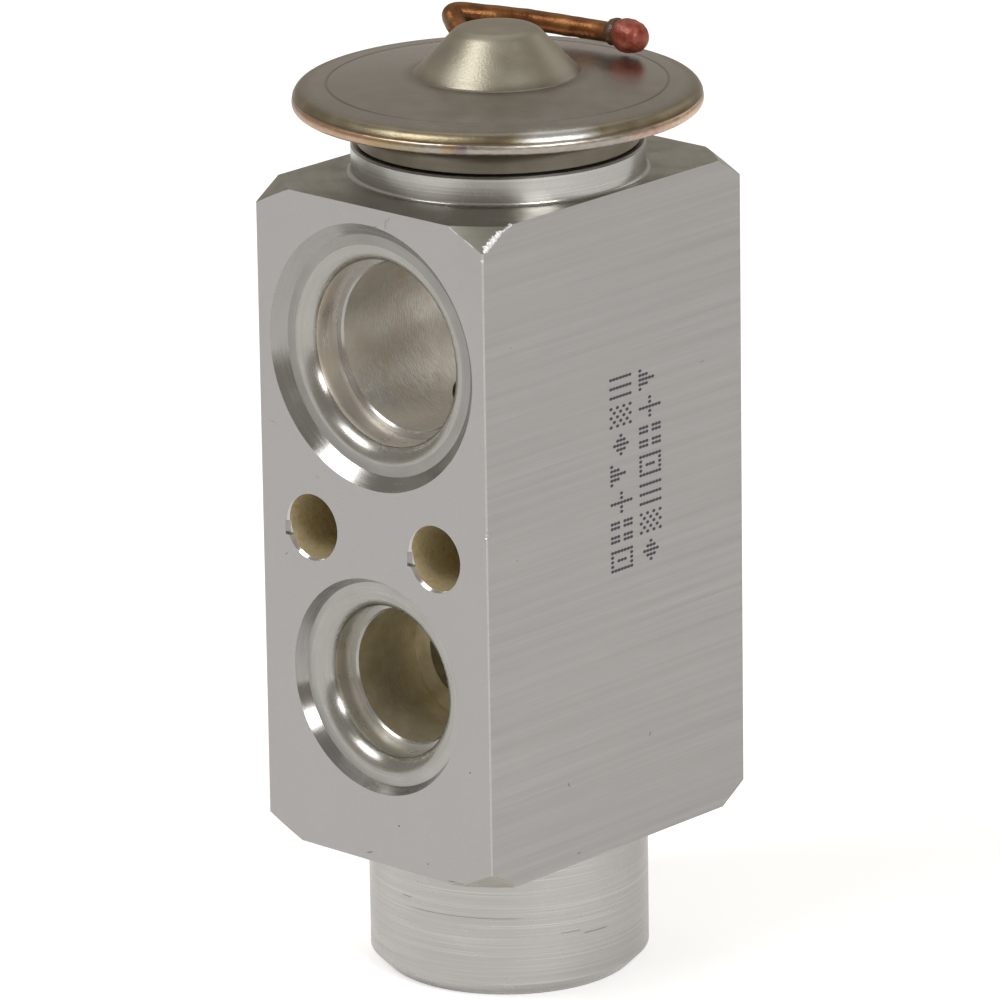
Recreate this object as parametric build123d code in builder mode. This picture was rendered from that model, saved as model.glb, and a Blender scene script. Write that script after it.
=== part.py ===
from build123d import *
from math import cos, hypot, radians, sin, tan
import os

# Block-type thermostatic expansion valve. Heights are measured from the end face of the lower
# boss, along the valve's axis. The front, towards -Y, is the evaporator side, the back the line
# side. Lengths are in millimetres, angles in degrees.

# Block
block_width = 30.0
block_depth = 37.8
block_height = 67.1
block_edge_break = 0.25
turned_radius = 21.6
turned_angle = 40.0
tool_overrun = 1.0

# Lower boss and upper collar, turned in one piece with the block
boss_radius = 14.0
boss_height = 14.6
boss_chamfer = 1.5
collar_radius = 14.5
collar_height = 2.9
collar_chamfer = 0.2
collar_cove = 0.4

# Bolt holes between the ports
bolt_hole_radius = 3.3
bolt_spacing = 16.3
bolt_height = 47.8
bolt_hole_break = 0.3

# Suction ports, front and back on one line
suction_height = 66.5
suction_passage_radius = 8.45
suction_gland_radius = 9.25
suction_gland_depth = 5.1
suction_ring_radius = 12.1
suction_mouth_radius = 13.4

# Liquid outlet, front
outlet_height = 32.9
outlet_passage_radius = 4.7
outlet_bore_radius = 6.77
outlet_bore_depth = 12.9
outlet_gland_radius = 7.6
outlet_gland_depth = 4.5
outlet_ring_radius = 10.35
outlet_mouth_radius = 11.0
outlet_passage_overrun = 4.5

# Liquid inlet, back
inlet_height = 24.0
inlet_passage_radius = 3.3
inlet_passage_drop = 1.6
inlet_bore_radius = 5.2
inlet_bore_depth = 10.4
inlet_gland_radius = 5.7
inlet_gland_depth = 4.0
inlet_ring_radius = 7.7
inlet_mouth_radius = 8.4

# Forms that all four ports share
port_ring_depth = 1.15
port_lip_radius = 1.8
port_step_break = 0.2
port_bore_overlap = 0.5

# Bores on the valve's axis, from the head downwards
neck_radius = 12.0
thread_clearance = 0.05
neck_length = 7.4
neck_bore_radius = 8.6
neck_runout = 0.3
running_clearance = 0.03
rod_radius = 3.0
rod_seal_section = 1.8
rod_gland_floor = 53.5
retainer_gap = 0.1
retainer_bore_clearance = 0.4
retainer_thickness = 0.6
retainer_dish = 0.4
retainer_slot_width = 0.6
retainer_slot_count = 8
guide_bore_floor = 44.5
pin_radius = 1.0
orifice_radius = 1.6
seat_radius = 2.4
seat_angle = 45.0
seat_web_bottom = 26.0
chamber_radius = 6.2
chamber_floor = 9.4
adjuster_bore_radius = 8.0
adjuster_bore_chamfer = 0.8

# Power head
head_gap = 0.3
hub_radius = 13.7
hub_height = 1.6
rim_radius = 19.8
base_sheet = 0.9
clamp_radius = 17.2
clamp_rise = 2.45
cup_floor_height = 1.3
cup_shelf_drop = 0.85
cup_shelf_slope = 0.3
cup_pit_clearance = 0.6
diaphragm_thickness = 0.2
diaphragm_dip = 0.65
wave_height = 0.35
wave_length = 1.6
wave_count = 2
cover_sheet = 1.05
cover_slope = 6.2
cover_joggle = 0.35
shoulder_radius = 0.45
shoulder_overhang = 0.35
shoulder_lift = 0.15
score_radius = 16.75
score_width = 0.16
score_depth = 0.07
dome_base_radius = 8.15
dome_slope = 47.0
dome_height = 4.55
dome_shoulder = 1.9
dome_foot = 0.5
weld_bulge = 0.4
weld_overlap = 0.35

# Head seal
head_seal_section = 1.6
head_seal_squeeze = 0.1
seal_clearance = 0.05

# Charge tube, curled round behind the dome
tube_radius = 1.05
tube_bore_radius = 0.5
tube_clearance = 0.03
tube_root_radius = 10.5
tube_root_angle = 145.7
tube_root_rise = 1.85
tube_elbow_radius = 14.8
tube_elbow_angle = 148.5
tube_elbow_rise = 2.45
tube_curl_radius = 15.8
tube_curl_start_angle = 134.0
tube_curl_end_angle = 77.0
tube_curl_step_count = 4
tube_curl_rise = 1.85
tube_tip_rise = 1.35
tube_bend_radius = 1.4
tube_gentle_radius = 12.0
braze_rise = 0.6
braze_spread = 0.85
braze_waist = 0.2
braze_foot_drop = 0.15
tip_length = 3.7
tip_radius = 1.72
tip_overlap = 0.9
drip_radius = 0.6
drip_setback = 0.9

# Thrust disc and rod
thrust_disc_radius = 11.8
thrust_disc_thickness = 1.0
thrust_disc_break = 0.25
thrust_hub_radius = 4.6
thrust_hub_depth = 1.6
rod_socket_depth = 2.1
rod_foot_gap = 1.0
pin_socket_depth = 3.0

# Ball, carrier, damper, spring
ball_radius = 2.5
seat_gap = 0.05
carrier_flange_radius = 5.3
carrier_flange_thickness = 1.2
carrier_cup_radius = 3.3
carrier_cup_mouth = 2.4
carrier_cup_clearance = 0.02
carrier_neck_length = 1.9
carrier_spigot_radius = 3.5
carrier_spigot_length = 2.5
carrier_spigot_break = 0.3
damper_sheet = 0.25
damper_finger_width = 2.0
damper_finger_length = 4.2
damper_finger_count = 4
damper_start_angle = 45.0
damper_wall_gap = 0.15
spring_mean_radius = 4.3
spring_wire_radius = 0.62
spring_turn_count = 5.0

# Adjusting screw
screw_recess = 1.6
screw_thread_length = 4.4
screw_groove_width = 1.8
screw_groove_radius = 6.4
screw_land_length = 0.8
screw_end_chamfer = 0.4
screw_spigot_length = 2.0
hex_across_flats = 6.0
hex_depth = 3.6
adjuster_seal_section = 1.5

# Heights that follow from the driving dimensions
block_bottom = boss_height
block_top = block_bottom + block_height
collar_top = block_top + collar_height
half_depth = block_depth / 2
hub_bottom = collar_top + head_gap
seal_groove_floor = hub_bottom - head_seal_section + head_seal_squeeze
hub_top = hub_bottom + hub_height
neck_bottom = hub_bottom - neck_length
neck_floor = neck_bottom - neck_runout
cup_floor = hub_bottom + cup_floor_height
clamp_height = hub_top + clamp_rise
cover_bottom = clamp_height + diaphragm_thickness
rim_top = cover_bottom + cover_sheet
weld_bottom = clamp_height - base_sheet / 2
weld_top = cover_bottom + weld_overlap
diaphragm_centre = clamp_height - diaphragm_dip
guide_radius = rod_radius + running_clearance
rod_gland_radius = rod_radius + rod_seal_section + 2 * seal_clearance
seat_slope = tan(radians(seat_angle))
seat_apex = seat_web_bottom + seat_radius / seat_slope
ball_height = seat_apex - (ball_radius + seat_gap) / sin(radians(seat_angle))
carrier_cup_apex = ball_height - (ball_radius + carrier_cup_clearance) / sin(radians(seat_angle))
carrier_top = carrier_cup_apex + carrier_cup_mouth / seat_slope
carrier_flange_top = carrier_top - carrier_neck_length
carrier_flange_bottom = carrier_flange_top - carrier_flange_thickness
spring_top = carrier_flange_bottom - damper_sheet
screw_groove_bottom = screw_recess + screw_thread_length
screw_groove_top = screw_groove_bottom + screw_groove_width
spring_bottom = screw_groove_top + screw_land_length

os.makedirs("parts", exist_ok=True)


def corner(sketch, x, y):
    """The corner of a sketch that lies nearest to a point."""
    return sketch.vertices().sort_by_distance((x, y))[0]


def polar(radius, angle, height):
    """A point at a radius and an angle round the valve's axis."""
    return (radius * cos(radians(angle)), radius * sin(radians(angle)), height)


def cover_height(radius):
    """Height of the cover's flat cone at a radius."""
    return rim_top + (rim_radius - radius) * tan(radians(cover_slope))


def port_plane(side, height):
    """Plane with x across a port and y into the block. The front is side -1, the back side 1."""
    return Plane(origin=(0, side * half_depth, height), x_dir=(-side, 0, 0), z_dir=(0, 0, 1))


def port_axis(side, height):
    """Axis of a port, from its mouth into the block."""
    return Axis((0, side * half_depth, height), (0, -side, 0))


def port_section(side, height, mouth, ring, gland, gland_depth, bores):
    """Half section of a port: countersink, flat ring, rounded lip, gland and stepped bores."""
    points = [(0, 0), (mouth, 0), (ring, port_ring_depth), (gland, port_ring_depth)]
    points += [(gland, gland_depth)]
    first_radius = bores[0][0]
    points += [(first_radius + port_step_break, gland_depth)]
    depth = gland_depth + port_step_break
    for radius, end in bores:
        points += [(radius, depth), (radius, end)]
        depth = end
    points += [(0, depth)]
    with BuildSketch(port_plane(side, height)) as section:
        with BuildLine():
            Polyline(*points, close=True)
        make_face()
        fillet(corner(section, gland, port_ring_depth), port_lip_radius)
    return section.sketch


# Valve body: a bar with its ends turned to a boss and a collar, then bored from five sides
with BuildPart() as valve_body:
    with BuildSketch(Plane.XY.offset(block_bottom)):
        Rectangle(block_width, block_depth)
    extrude(amount=block_height)
    chamfer(valve_body.edges().filter_by(Axis.Z), block_edge_break)

    # The lathe tool takes the four corners off in a flat cone at both ends
    cone_reach = hypot(block_width, block_depth) / 2 + tool_overrun
    cone_drop = (cone_reach - turned_radius) * tan(radians(turned_angle))
    with BuildSketch(Plane.XZ):
        for level, inward in ((block_top, -1), (block_bottom, 1)):
            with BuildLine():
                Polyline(
                    (turned_radius, level),
                    (cone_reach, level + inward * cone_drop),
                    (cone_reach, level - inward * tool_overrun),
                    (turned_radius, level - inward * tool_overrun),
                    close=True,
                )
            make_face()
    revolve(axis=Axis.Z, mode=Mode.SUBTRACT)

    with BuildSketch(Plane.XY.offset(block_top)):
        Circle(collar_radius)
    extrude(amount=collar_height)
    collar_foot = valve_body.edges().filter_by(GeomType.CIRCLE).sort_by_distance((0, 0, block_top))[0]
    fillet(collar_foot, collar_cove)
    chamfer(valve_body.edges().filter_by(GeomType.CIRCLE).sort_by(Axis.Z)[-1], collar_chamfer)

    with BuildSketch():
        Circle(boss_radius)
    extrude(amount=boss_height)
    chamfer(valve_body.edges().filter_by(GeomType.CIRCLE).sort_by(Axis.Z)[0], boss_chamfer)

    # Ports, front and back
    suction_bores = [(suction_passage_radius, half_depth + port_bore_overlap)]
    for side in (-1, 1):
        suction = port_section(
            side, suction_height, suction_mouth_radius, suction_ring_radius,
            suction_gland_radius, suction_gland_depth, suction_bores,
        )
        revolve(suction, axis=port_axis(side, suction_height), mode=Mode.SUBTRACT)

    outlet_bores = [
        (outlet_bore_radius, outlet_bore_depth),
        (outlet_passage_radius, half_depth + outlet_passage_overrun),
    ]
    outlet = port_section(
        -1, outlet_height, outlet_mouth_radius, outlet_ring_radius,
        outlet_gland_radius, outlet_gland_depth, outlet_bores,
    )
    revolve(outlet, axis=port_axis(-1, outlet_height), mode=Mode.SUBTRACT)

    inlet = port_section(
        1, inlet_height, inlet_mouth_radius, inlet_ring_radius,
        inlet_gland_radius, inlet_gland_depth, [(inlet_bore_radius, inlet_bore_depth)],
    )
    revolve(inlet, axis=port_axis(1, inlet_height), mode=Mode.SUBTRACT)
    with BuildSketch(Plane.XZ.offset(-half_depth + inlet_bore_depth)):
        with Locations((0, inlet_height - inlet_passage_drop)):
            Circle(inlet_passage_radius)
    extrude(amount=half_depth - inlet_bore_depth, mode=Mode.SUBTRACT)

    # Bolt holes right through, countersunk a touch at both faces
    with BuildSketch(Plane.XZ.offset(half_depth)):
        with Locations((-bolt_spacing / 2, bolt_height), (bolt_spacing / 2, bolt_height)):
            Circle(bolt_hole_radius)
    extrude(amount=-block_depth, mode=Mode.SUBTRACT)
    for end in (0, -1):
        port_face = valve_body.faces().sort_by(Axis.Y)[end]
        mouths = port_face.edges().filter_by(GeomType.CIRCLE).sort_by(SortBy.RADIUS)
        chamfer(mouths[:2], bolt_hole_break)

    # Bores on the axis: head thread, seal groove, suction crossing, rod gland, guide, orifice
    with BuildSketch(Plane.XZ):
        with BuildLine():
            Polyline(
                (0, collar_top),
                (hub_radius, collar_top),
                (hub_radius, seal_groove_floor),
                (neck_radius + thread_clearance, seal_groove_floor),
                (neck_radius + thread_clearance, neck_floor),
                (neck_bore_radius, neck_floor),
                (neck_bore_radius, suction_height),
                (rod_gland_radius, suction_height),
                (rod_gland_radius, rod_gland_floor),
                (guide_radius, rod_gland_floor),
                (guide_radius, guide_bore_floor),
                (pin_radius + running_clearance, guide_bore_floor),
                (pin_radius + running_clearance, outlet_height),
                (orifice_radius, outlet_height),
                (orifice_radius, seat_apex - orifice_radius / seat_slope),
                (seat_radius, seat_web_bottom),
                (chamber_radius, seat_web_bottom),
                (chamber_radius, chamber_floor),
                (adjuster_bore_radius, chamber_floor),
                (adjuster_bore_radius, adjuster_bore_chamfer),
                (adjuster_bore_radius + adjuster_bore_chamfer, 0),
                (0, 0),
                close=True,
            )
        make_face()
    revolve(axis=Axis.Z, mode=Mode.SUBTRACT)
valve_body.part.label = "valve_body"
export_step(valve_body.part, "parts/valve_body.step")

# Lower cup of the power head: hub, threaded neck and a dished flange up to the weld
with BuildPart() as head_base:
    pit_radius = thrust_disc_radius + cup_pit_clearance
    with BuildSketch(Plane.XZ) as section:
        with BuildLine():
            Polyline(
                (neck_bore_radius, neck_bottom),
                (neck_radius, neck_bottom),
                (neck_radius, hub_bottom),
                (hub_radius, hub_bottom),
                (hub_radius, hub_top),
                (rim_radius, weld_bottom),
                (rim_radius, clamp_height),
                (clamp_radius, clamp_height),
                (clamp_radius - cup_shelf_drop, clamp_height - cup_shelf_drop),
                (pit_radius, clamp_height - cup_shelf_drop - cup_shelf_slope),
                (pit_radius, cup_floor),
                (neck_bore_radius, cup_floor),
                close=True,
            )
        make_face()
        fillet(corner(section, hub_radius, hub_top), base_sheet)
    revolve(axis=Axis.Z)
head_base.part.label = "head_base"
export_step(head_base.part, "parts/head_base.step")

# Diaphragm: thin steel disc, clamped at its rim, waved, with a flat centre on the thrust disc
with BuildPart() as diaphragm:
    underside = [(rim_radius, clamp_height), (clamp_radius, clamp_height)]
    wave_start = clamp_radius - diaphragm_dip
    for wave in range(wave_count):
        foot = wave_start - wave * wave_length
        crest = foot - wave_length / 2
        underside += [(foot, diaphragm_centre), (crest, diaphragm_centre + wave_height)]
    underside += [(wave_start - wave_count * wave_length, diaphragm_centre), (0, diaphragm_centre)]
    topside = [(x, y + diaphragm_thickness) for x, y in reversed(underside)]
    with BuildSketch(Plane.XZ):
        with BuildLine():
            Polyline(*underside, *topside, close=True)
        make_face()
    revolve(axis=Axis.Z)
diaphragm.part.label = "diaphragm"
export_step(diaphragm.part, "parts/diaphragm.step")

# Cover of the power head: one stamped sheet with a rolled shoulder, a coined ring and a dome
with BuildPart() as head_cover:
    dome_base = cover_height(dome_base_radius)
    dome_top = dome_base + dome_height
    steep = radians(dome_slope)
    shallow = radians(cover_slope)
    dome_corner_radius = dome_base_radius - dome_height / tan(steep)
    skin_shallow = cover_sheet / cos(shallow)
    skin_steep = cover_sheet / cos(steep)
    inner_foot_radius = dome_base_radius - (skin_steep - skin_shallow) / (tan(steep) - tan(shallow))
    inner_corner_radius = dome_base_radius - (dome_height - cover_sheet + skin_steep) / tan(steep)
    inner_top = dome_top - cover_sheet
    shoulder_edge = rim_radius + shoulder_overhang
    inner_clamp_radius = clamp_radius - cover_joggle
    with BuildSketch(Plane.XZ) as section:
        with BuildLine():
            Polyline(
                (0, inner_top),
                (inner_corner_radius, inner_top),
                (inner_foot_radius, cover_height(inner_foot_radius) - skin_shallow),
                (inner_clamp_radius, cover_height(inner_clamp_radius) - skin_shallow),
                (clamp_radius, cover_bottom),
                (rim_radius, cover_bottom),
                (rim_radius, weld_top),
                (shoulder_edge, weld_top + shoulder_lift),
                (shoulder_edge, cover_height(shoulder_edge)),
                (score_radius + score_width, cover_height(score_radius + score_width)),
                (score_radius, cover_height(score_radius) - score_depth),
                (score_radius - score_width, cover_height(score_radius - score_width)),
                (dome_base_radius, dome_base),
                (dome_corner_radius, dome_top),
                (0, dome_top),
                close=True,
            )
        make_face()
        fillet(corner(section, shoulder_edge, cover_height(shoulder_edge)), shoulder_radius)
        fillet(corner(section, dome_base_radius, dome_base), dome_foot)
        fillet(corner(section, dome_corner_radius, dome_top), dome_shoulder)
        fillet(corner(section, inner_corner_radius, inner_top), dome_shoulder - cover_sheet)
    revolve(axis=Axis.Z)

    # Hole for the charge tube
    with BuildSketch(Plane.XY.offset(cover_bottom)):
        with Locations(polar(tube_root_radius, tube_root_angle, 0)[:2]):
            Circle(tube_radius + tube_clearance)
    extrude(amount=dome_top - cover_bottom, mode=Mode.SUBTRACT)
head_cover.part.label = "head_cover"
export_step(head_cover.part, "parts/head_cover.step")

# Weld bead round the rim, over the edges of base, diaphragm and cover
with BuildPart() as rim_weld:
    with BuildSketch(Plane.XZ):
        with BuildLine():
            ThreePointArc(
                (rim_radius, weld_bottom),
                (rim_radius + weld_bulge, (weld_bottom + weld_top) / 2),
                (rim_radius, weld_top),
            )
            Line((rim_radius, weld_top), (rim_radius, weld_bottom))
        make_face()
    revolve(axis=Axis.Z)
rim_weld.part.label = "rim_weld"
export_step(rim_weld.part, "parts/rim_weld.step")

# Ring between hub and block, pressed flat by the head
with BuildPart() as head_seal:
    seal_height = hub_bottom - seal_groove_floor
    seal_ring_radius = neck_radius + seal_clearance + head_seal_section / 2
    with BuildSketch(Plane.XZ):
        with Locations((seal_ring_radius, seal_groove_floor + seal_height / 2)):
            Circle(head_seal_section / 2)
            Rectangle(head_seal_section, seal_height, mode=Mode.INTERSECT)
    revolve(axis=Axis.Z)
head_seal.part.label = "head_seal"
export_step(head_seal.part, "parts/head_seal.step")

# Charge tube: up out of the cover, over backwards, then curled round behind the dome
root_height = cover_height(tube_root_radius)
curl_points = []
for step in range(tube_curl_step_count + 1):
    share = step / tube_curl_step_count
    curl_angle = tube_curl_start_angle + share * (tube_curl_end_angle - tube_curl_start_angle)
    curl_height = root_height + tube_curl_rise + (tube_tip_rise - tube_curl_rise) * share
    curl_points.append(polar(tube_curl_radius, curl_angle, curl_height))
tube_points = [
    polar(tube_root_radius, tube_root_angle, root_height - cover_sheet),
    polar(tube_root_radius, tube_root_angle, root_height + tube_root_rise),
    polar(tube_elbow_radius, tube_elbow_angle, root_height + tube_elbow_rise),
    *curl_points,
]
tube_bends = [tube_bend_radius, tube_bend_radius] + [tube_gentle_radius] * tube_curl_step_count
with BuildPart() as charge_tube:
    with BuildLine() as tube_route:
        FilletPolyline(*tube_points, radius=tube_bends)
    with BuildSketch(Plane(tube_route.line @ 0, z_dir=tube_route.line % 0)):
        Circle(tube_radius)
        Circle(tube_bore_radius, mode=Mode.SUBTRACT)
    sweep()
charge_tube.part.label = "charge_tube"
export_step(charge_tube.part, "parts/charge_tube.step")

# Braze fillet round the tube where it leaves the cover
with BuildPart() as tube_root_braze:
    root_centre = polar(tube_root_radius, tube_root_angle, root_height)
    braze_top = (tube_radius, braze_rise)
    braze_toe = (tube_radius + braze_spread, -braze_foot_drop)
    with BuildSketch(Plane(root_centre, x_dir=(1, 0, 0), z_dir=(0, -1, 0))):
        with BuildLine():
            ThreePointArc(braze_top, (tube_radius + braze_waist, braze_waist), braze_toe)
            Polyline(braze_toe, (tube_radius, -braze_rise), braze_top)
        make_face()
    revolve(axis=Axis(root_centre, (0, 0, 1)))
    add(head_cover.part, mode=Mode.SUBTRACT)
tube_root_braze.part.label = "tube_root_braze"
export_step(tube_root_braze.part, "parts/tube_root_braze.step")

# Solder bead that closes the tube, with a drip hanging from it
with BuildPart() as tube_tip:
    tip_direction = tube_route.line % 1
    tip_centre = (tube_route.line @ 1) + tip_direction * (tip_length / 2 - tip_overlap)
    tip_plane = Plane(tip_centre, x_dir=tip_direction, z_dir=tip_direction.cross(Vector(0, 0, 1)))
    with BuildSketch(tip_plane):
        Ellipse(tip_length / 2, tip_radius)
        with Locations((0, -tip_radius)):
            Rectangle(tip_length, 2 * tip_radius, mode=Mode.SUBTRACT)
    revolve(axis=Axis(tip_centre, tip_direction))
    drip_centre = tip_centre - tip_direction * drip_setback - Vector(0, 0, tip_radius - drip_radius)
    with Locations(drip_centre):
        Sphere(drip_radius)
    add(charge_tube.part, mode=Mode.SUBTRACT)
tube_tip.part.label = "tube_tip"
export_step(tube_tip.part, "parts/tube_tip.step")

# Thrust disc: takes the diaphragm's push and holds the top of the rod
with BuildPart() as thrust_disc:
    disc_bottom = diaphragm_centre - thrust_disc_thickness
    thrust_hub_bottom = disc_bottom - thrust_hub_depth
    with BuildSketch(Plane.XZ):
        with BuildLine():
            Polyline(
                (0, diaphragm_centre),
                (thrust_disc_radius, diaphragm_centre),
                (thrust_disc_radius, disc_bottom),
                (thrust_hub_radius, disc_bottom),
                (thrust_hub_radius, thrust_hub_bottom),
                (rod_radius, thrust_hub_bottom),
                (rod_radius, thrust_hub_bottom + rod_socket_depth),
                (0, thrust_hub_bottom + rod_socket_depth),
                close=True,
            )
        make_face()
    revolve(axis=Axis.Z)
    chamfer(thrust_disc.edges().filter_by(GeomType.CIRCLE).sort_by(Axis.Z)[-1], thrust_disc_break)
thrust_disc.part.label = "thrust_disc"
export_step(thrust_disc.part, "parts/thrust_disc.step")

# Sensing rod: from the thrust disc through the suction gas and the guide bore
with BuildPart() as sensing_rod:
    rod_top = thrust_hub_bottom + rod_socket_depth
    rod_foot = guide_bore_floor + rod_foot_gap
    with BuildSketch(Plane.XY.offset(rod_foot)):
        Circle(rod_radius)
    extrude(amount=rod_top - rod_foot)
    with BuildSketch(Plane.XY.offset(rod_foot)):
        Circle(pin_radius)
    extrude(amount=pin_socket_depth, mode=Mode.SUBTRACT)
sensing_rod.part.label = "sensing_rod"
export_step(sensing_rod.part, "parts/sensing_rod.step")

# O-ring on the rod, in the gland in the web
with BuildPart() as rod_seal_ring:
    rod_seal_half = rod_seal_section / 2
    with BuildSketch(Plane.XZ):
        with Locations((rod_radius + seal_clearance + rod_seal_half, rod_gland_floor + rod_seal_half)):
            Circle(rod_seal_half)
    revolve(axis=Axis.Z)
rod_seal_ring.part.label = "rod_seal_ring"
export_step(rod_seal_ring.part, "parts/rod_seal_ring.step")

# Toothed washer pressed in over the O-ring, its teeth dished upwards
with BuildPart() as rod_seal_retainer:
    retainer_bottom = rod_gland_floor + rod_seal_section + retainer_gap
    retainer_inner = rod_radius + retainer_bore_clearance
    retainer_bend = (retainer_inner + rod_gland_radius) / 2
    with BuildSketch(Plane.XZ):
        with BuildLine():
            Polyline(
                (retainer_inner, retainer_bottom),
                (retainer_bend, retainer_bottom),
                (rod_gland_radius, retainer_bottom + retainer_dish),
                (rod_gland_radius, retainer_bottom + retainer_dish + retainer_thickness),
                (retainer_bend, retainer_bottom + retainer_thickness),
                (retainer_inner, retainer_bottom + retainer_thickness),
                close=True,
            )
        make_face()
    revolve(axis=Axis.Z)
    tooth_middle = (retainer_bend + rod_gland_radius + retainer_slot_width) / 2
    with BuildSketch(Plane.XY.offset(retainer_bottom)):
        with PolarLocations(tooth_middle, retainer_slot_count):
            Rectangle(rod_gland_radius - retainer_bend, retainer_slot_width)
    extrude(amount=retainer_dish + retainer_thickness, mode=Mode.SUBTRACT)
rod_seal_retainer.part.label = "rod_seal_retainer"
export_step(rod_seal_retainer.part, "parts/rod_seal_retainer.step")

# Push pin: from its socket in the rod through the orifice down to the ball
with BuildPart() as push_pin:
    pin_bottom = ball_height + ball_radius
    with BuildSketch(Plane.XY.offset(pin_bottom)):
        Circle(pin_radius)
    extrude(amount=rod_foot + pin_socket_depth - pin_bottom)
push_pin.part.label = "push_pin"
export_step(push_pin.part, "parts/push_pin.step")

# Ball under the seat
with BuildPart() as valve_ball:
    with Locations((0, 0, ball_height)):
        Sphere(ball_radius)
valve_ball.part.label = "valve_ball"
export_step(valve_ball.part, "parts/valve_ball.step")

# Ball carrier: cup for the ball, flange on the spring, spigot inside the coils
with BuildPart() as ball_carrier:
    with BuildSketch(Plane.XZ):
        with BuildLine():
            Polyline(
                (0, carrier_cup_apex),
                (carrier_cup_mouth, carrier_top),
                (carrier_cup_radius, carrier_top),
                (carrier_cup_radius, carrier_flange_top),
                (carrier_flange_radius, carrier_flange_top),
                (carrier_flange_radius, carrier_flange_bottom),
                (carrier_spigot_radius, carrier_flange_bottom),
                (carrier_spigot_radius, carrier_flange_bottom - carrier_spigot_length),
                (0, carrier_flange_bottom - carrier_spigot_length),
                close=True,
            )
        make_face()
    revolve(axis=Axis.Z)
    chamfer(ball_carrier.edges().filter_by(GeomType.CIRCLE).sort_by(Axis.Z)[0], carrier_spigot_break)
ball_carrier.part.label = "ball_carrier"
export_step(ball_carrier.part, "parts/ball_carrier.step")

# Damper: spring sheet ring under the carrier's flange with fingers bent down along the wall
with BuildPart() as carrier_damper:
    finger_face = chamber_radius - damper_wall_gap
    finger_middle = finger_face - damper_sheet / 2
    with BuildSketch(Plane.XY.offset(spring_top)):
        Circle(carrier_flange_radius)
        with PolarLocations(finger_face / 2, damper_finger_count, damper_start_angle):
            Rectangle(finger_face, damper_finger_width)
        Circle(carrier_spigot_radius + damper_sheet, mode=Mode.SUBTRACT)
    extrude(amount=damper_sheet)
    with BuildSketch(Plane.XY.offset(carrier_flange_bottom)):
        with PolarLocations(finger_middle, damper_finger_count, damper_start_angle):
            Rectangle(damper_sheet, damper_finger_width)
    extrude(amount=-damper_finger_length)
carrier_damper.part.label = "carrier_damper"
export_step(carrier_damper.part, "parts/carrier_damper.step")

# Superheat spring, its two ends ground flat
with BuildPart() as superheat_spring:
    spring_length = spring_top - spring_bottom
    spring_pitch = spring_length / spring_turn_count
    with BuildLine() as coil:
        Helix(spring_pitch, spring_length, spring_mean_radius, center=(0, 0, spring_bottom))
    with BuildSketch(Plane(coil.line @ 0, z_dir=coil.line % 0)):
        Circle(spring_wire_radius)
    sweep(is_frenet=True)
    split(bisect_by=Plane.XY.offset(spring_bottom), keep=Keep.TOP)
    split(bisect_by=Plane.XY.offset(spring_top), keep=Keep.BOTTOM)
superheat_spring.part.label = "superheat_spring"
export_step(superheat_spring.part, "parts/superheat_spring.step")

# Adjusting screw: thread, O-ring groove, land, spring spigot and a hex socket from below
with BuildPart() as adjusting_screw:
    screw_radius = adjuster_bore_radius - thread_clearance
    with BuildSketch(Plane.XZ):
        with BuildLine():
            Polyline(
                (0, screw_recess),
                (screw_radius, screw_recess),
                (screw_radius, screw_groove_bottom),
                (screw_groove_radius, screw_groove_bottom),
                (screw_groove_radius, screw_groove_top),
                (screw_radius, screw_groove_top),
                (screw_radius, spring_bottom),
                (carrier_spigot_radius, spring_bottom),
                (carrier_spigot_radius, spring_bottom + screw_spigot_length),
                (0, spring_bottom + screw_spigot_length),
                close=True,
            )
        make_face()
    revolve(axis=Axis.Z)
    chamfer(adjusting_screw.edges().filter_by(GeomType.CIRCLE).sort_by(Axis.Z)[0], screw_end_chamfer)
    with BuildSketch(Plane.XY.offset(screw_recess)):
        RegularPolygon(hex_across_flats / 2, 6, major_radius=False)
    extrude(amount=hex_depth, mode=Mode.SUBTRACT)
adjusting_screw.part.label = "adjusting_screw"
export_step(adjusting_screw.part, "parts/adjusting_screw.step")

# O-ring in the adjusting screw's groove
with BuildPart() as adjuster_seal:
    adjuster_seal_ring = adjuster_bore_radius - seal_clearance - adjuster_seal_section / 2
    with BuildSketch(Plane.XZ):
        with Locations((adjuster_seal_ring, (screw_groove_bottom + screw_groove_top) / 2)):
            Circle(adjuster_seal_section / 2)
    revolve(axis=Axis.Z)
adjuster_seal.part.label = "adjuster_seal"
export_step(adjuster_seal.part, "parts/adjuster_seal.step")
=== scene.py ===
import random
from math import cos, pi, radians, sin, tan

import bmesh
import bpy
from mathutils import Matrix, Vector, noise


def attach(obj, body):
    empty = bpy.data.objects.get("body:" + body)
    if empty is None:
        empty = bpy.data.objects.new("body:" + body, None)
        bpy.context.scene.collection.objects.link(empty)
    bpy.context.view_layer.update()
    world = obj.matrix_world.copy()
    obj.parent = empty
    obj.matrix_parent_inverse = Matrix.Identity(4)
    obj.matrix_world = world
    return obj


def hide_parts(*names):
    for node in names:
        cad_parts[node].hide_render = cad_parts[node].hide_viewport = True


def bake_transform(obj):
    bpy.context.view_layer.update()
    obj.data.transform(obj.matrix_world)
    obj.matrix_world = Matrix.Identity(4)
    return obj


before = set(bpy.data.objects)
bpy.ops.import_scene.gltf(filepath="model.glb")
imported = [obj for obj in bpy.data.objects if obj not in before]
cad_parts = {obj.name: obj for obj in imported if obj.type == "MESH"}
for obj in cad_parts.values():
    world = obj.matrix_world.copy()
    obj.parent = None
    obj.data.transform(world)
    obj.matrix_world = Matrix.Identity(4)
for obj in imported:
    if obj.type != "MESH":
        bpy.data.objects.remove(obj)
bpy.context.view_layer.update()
scene = bpy.context.scene
MM = 0.001


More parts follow.
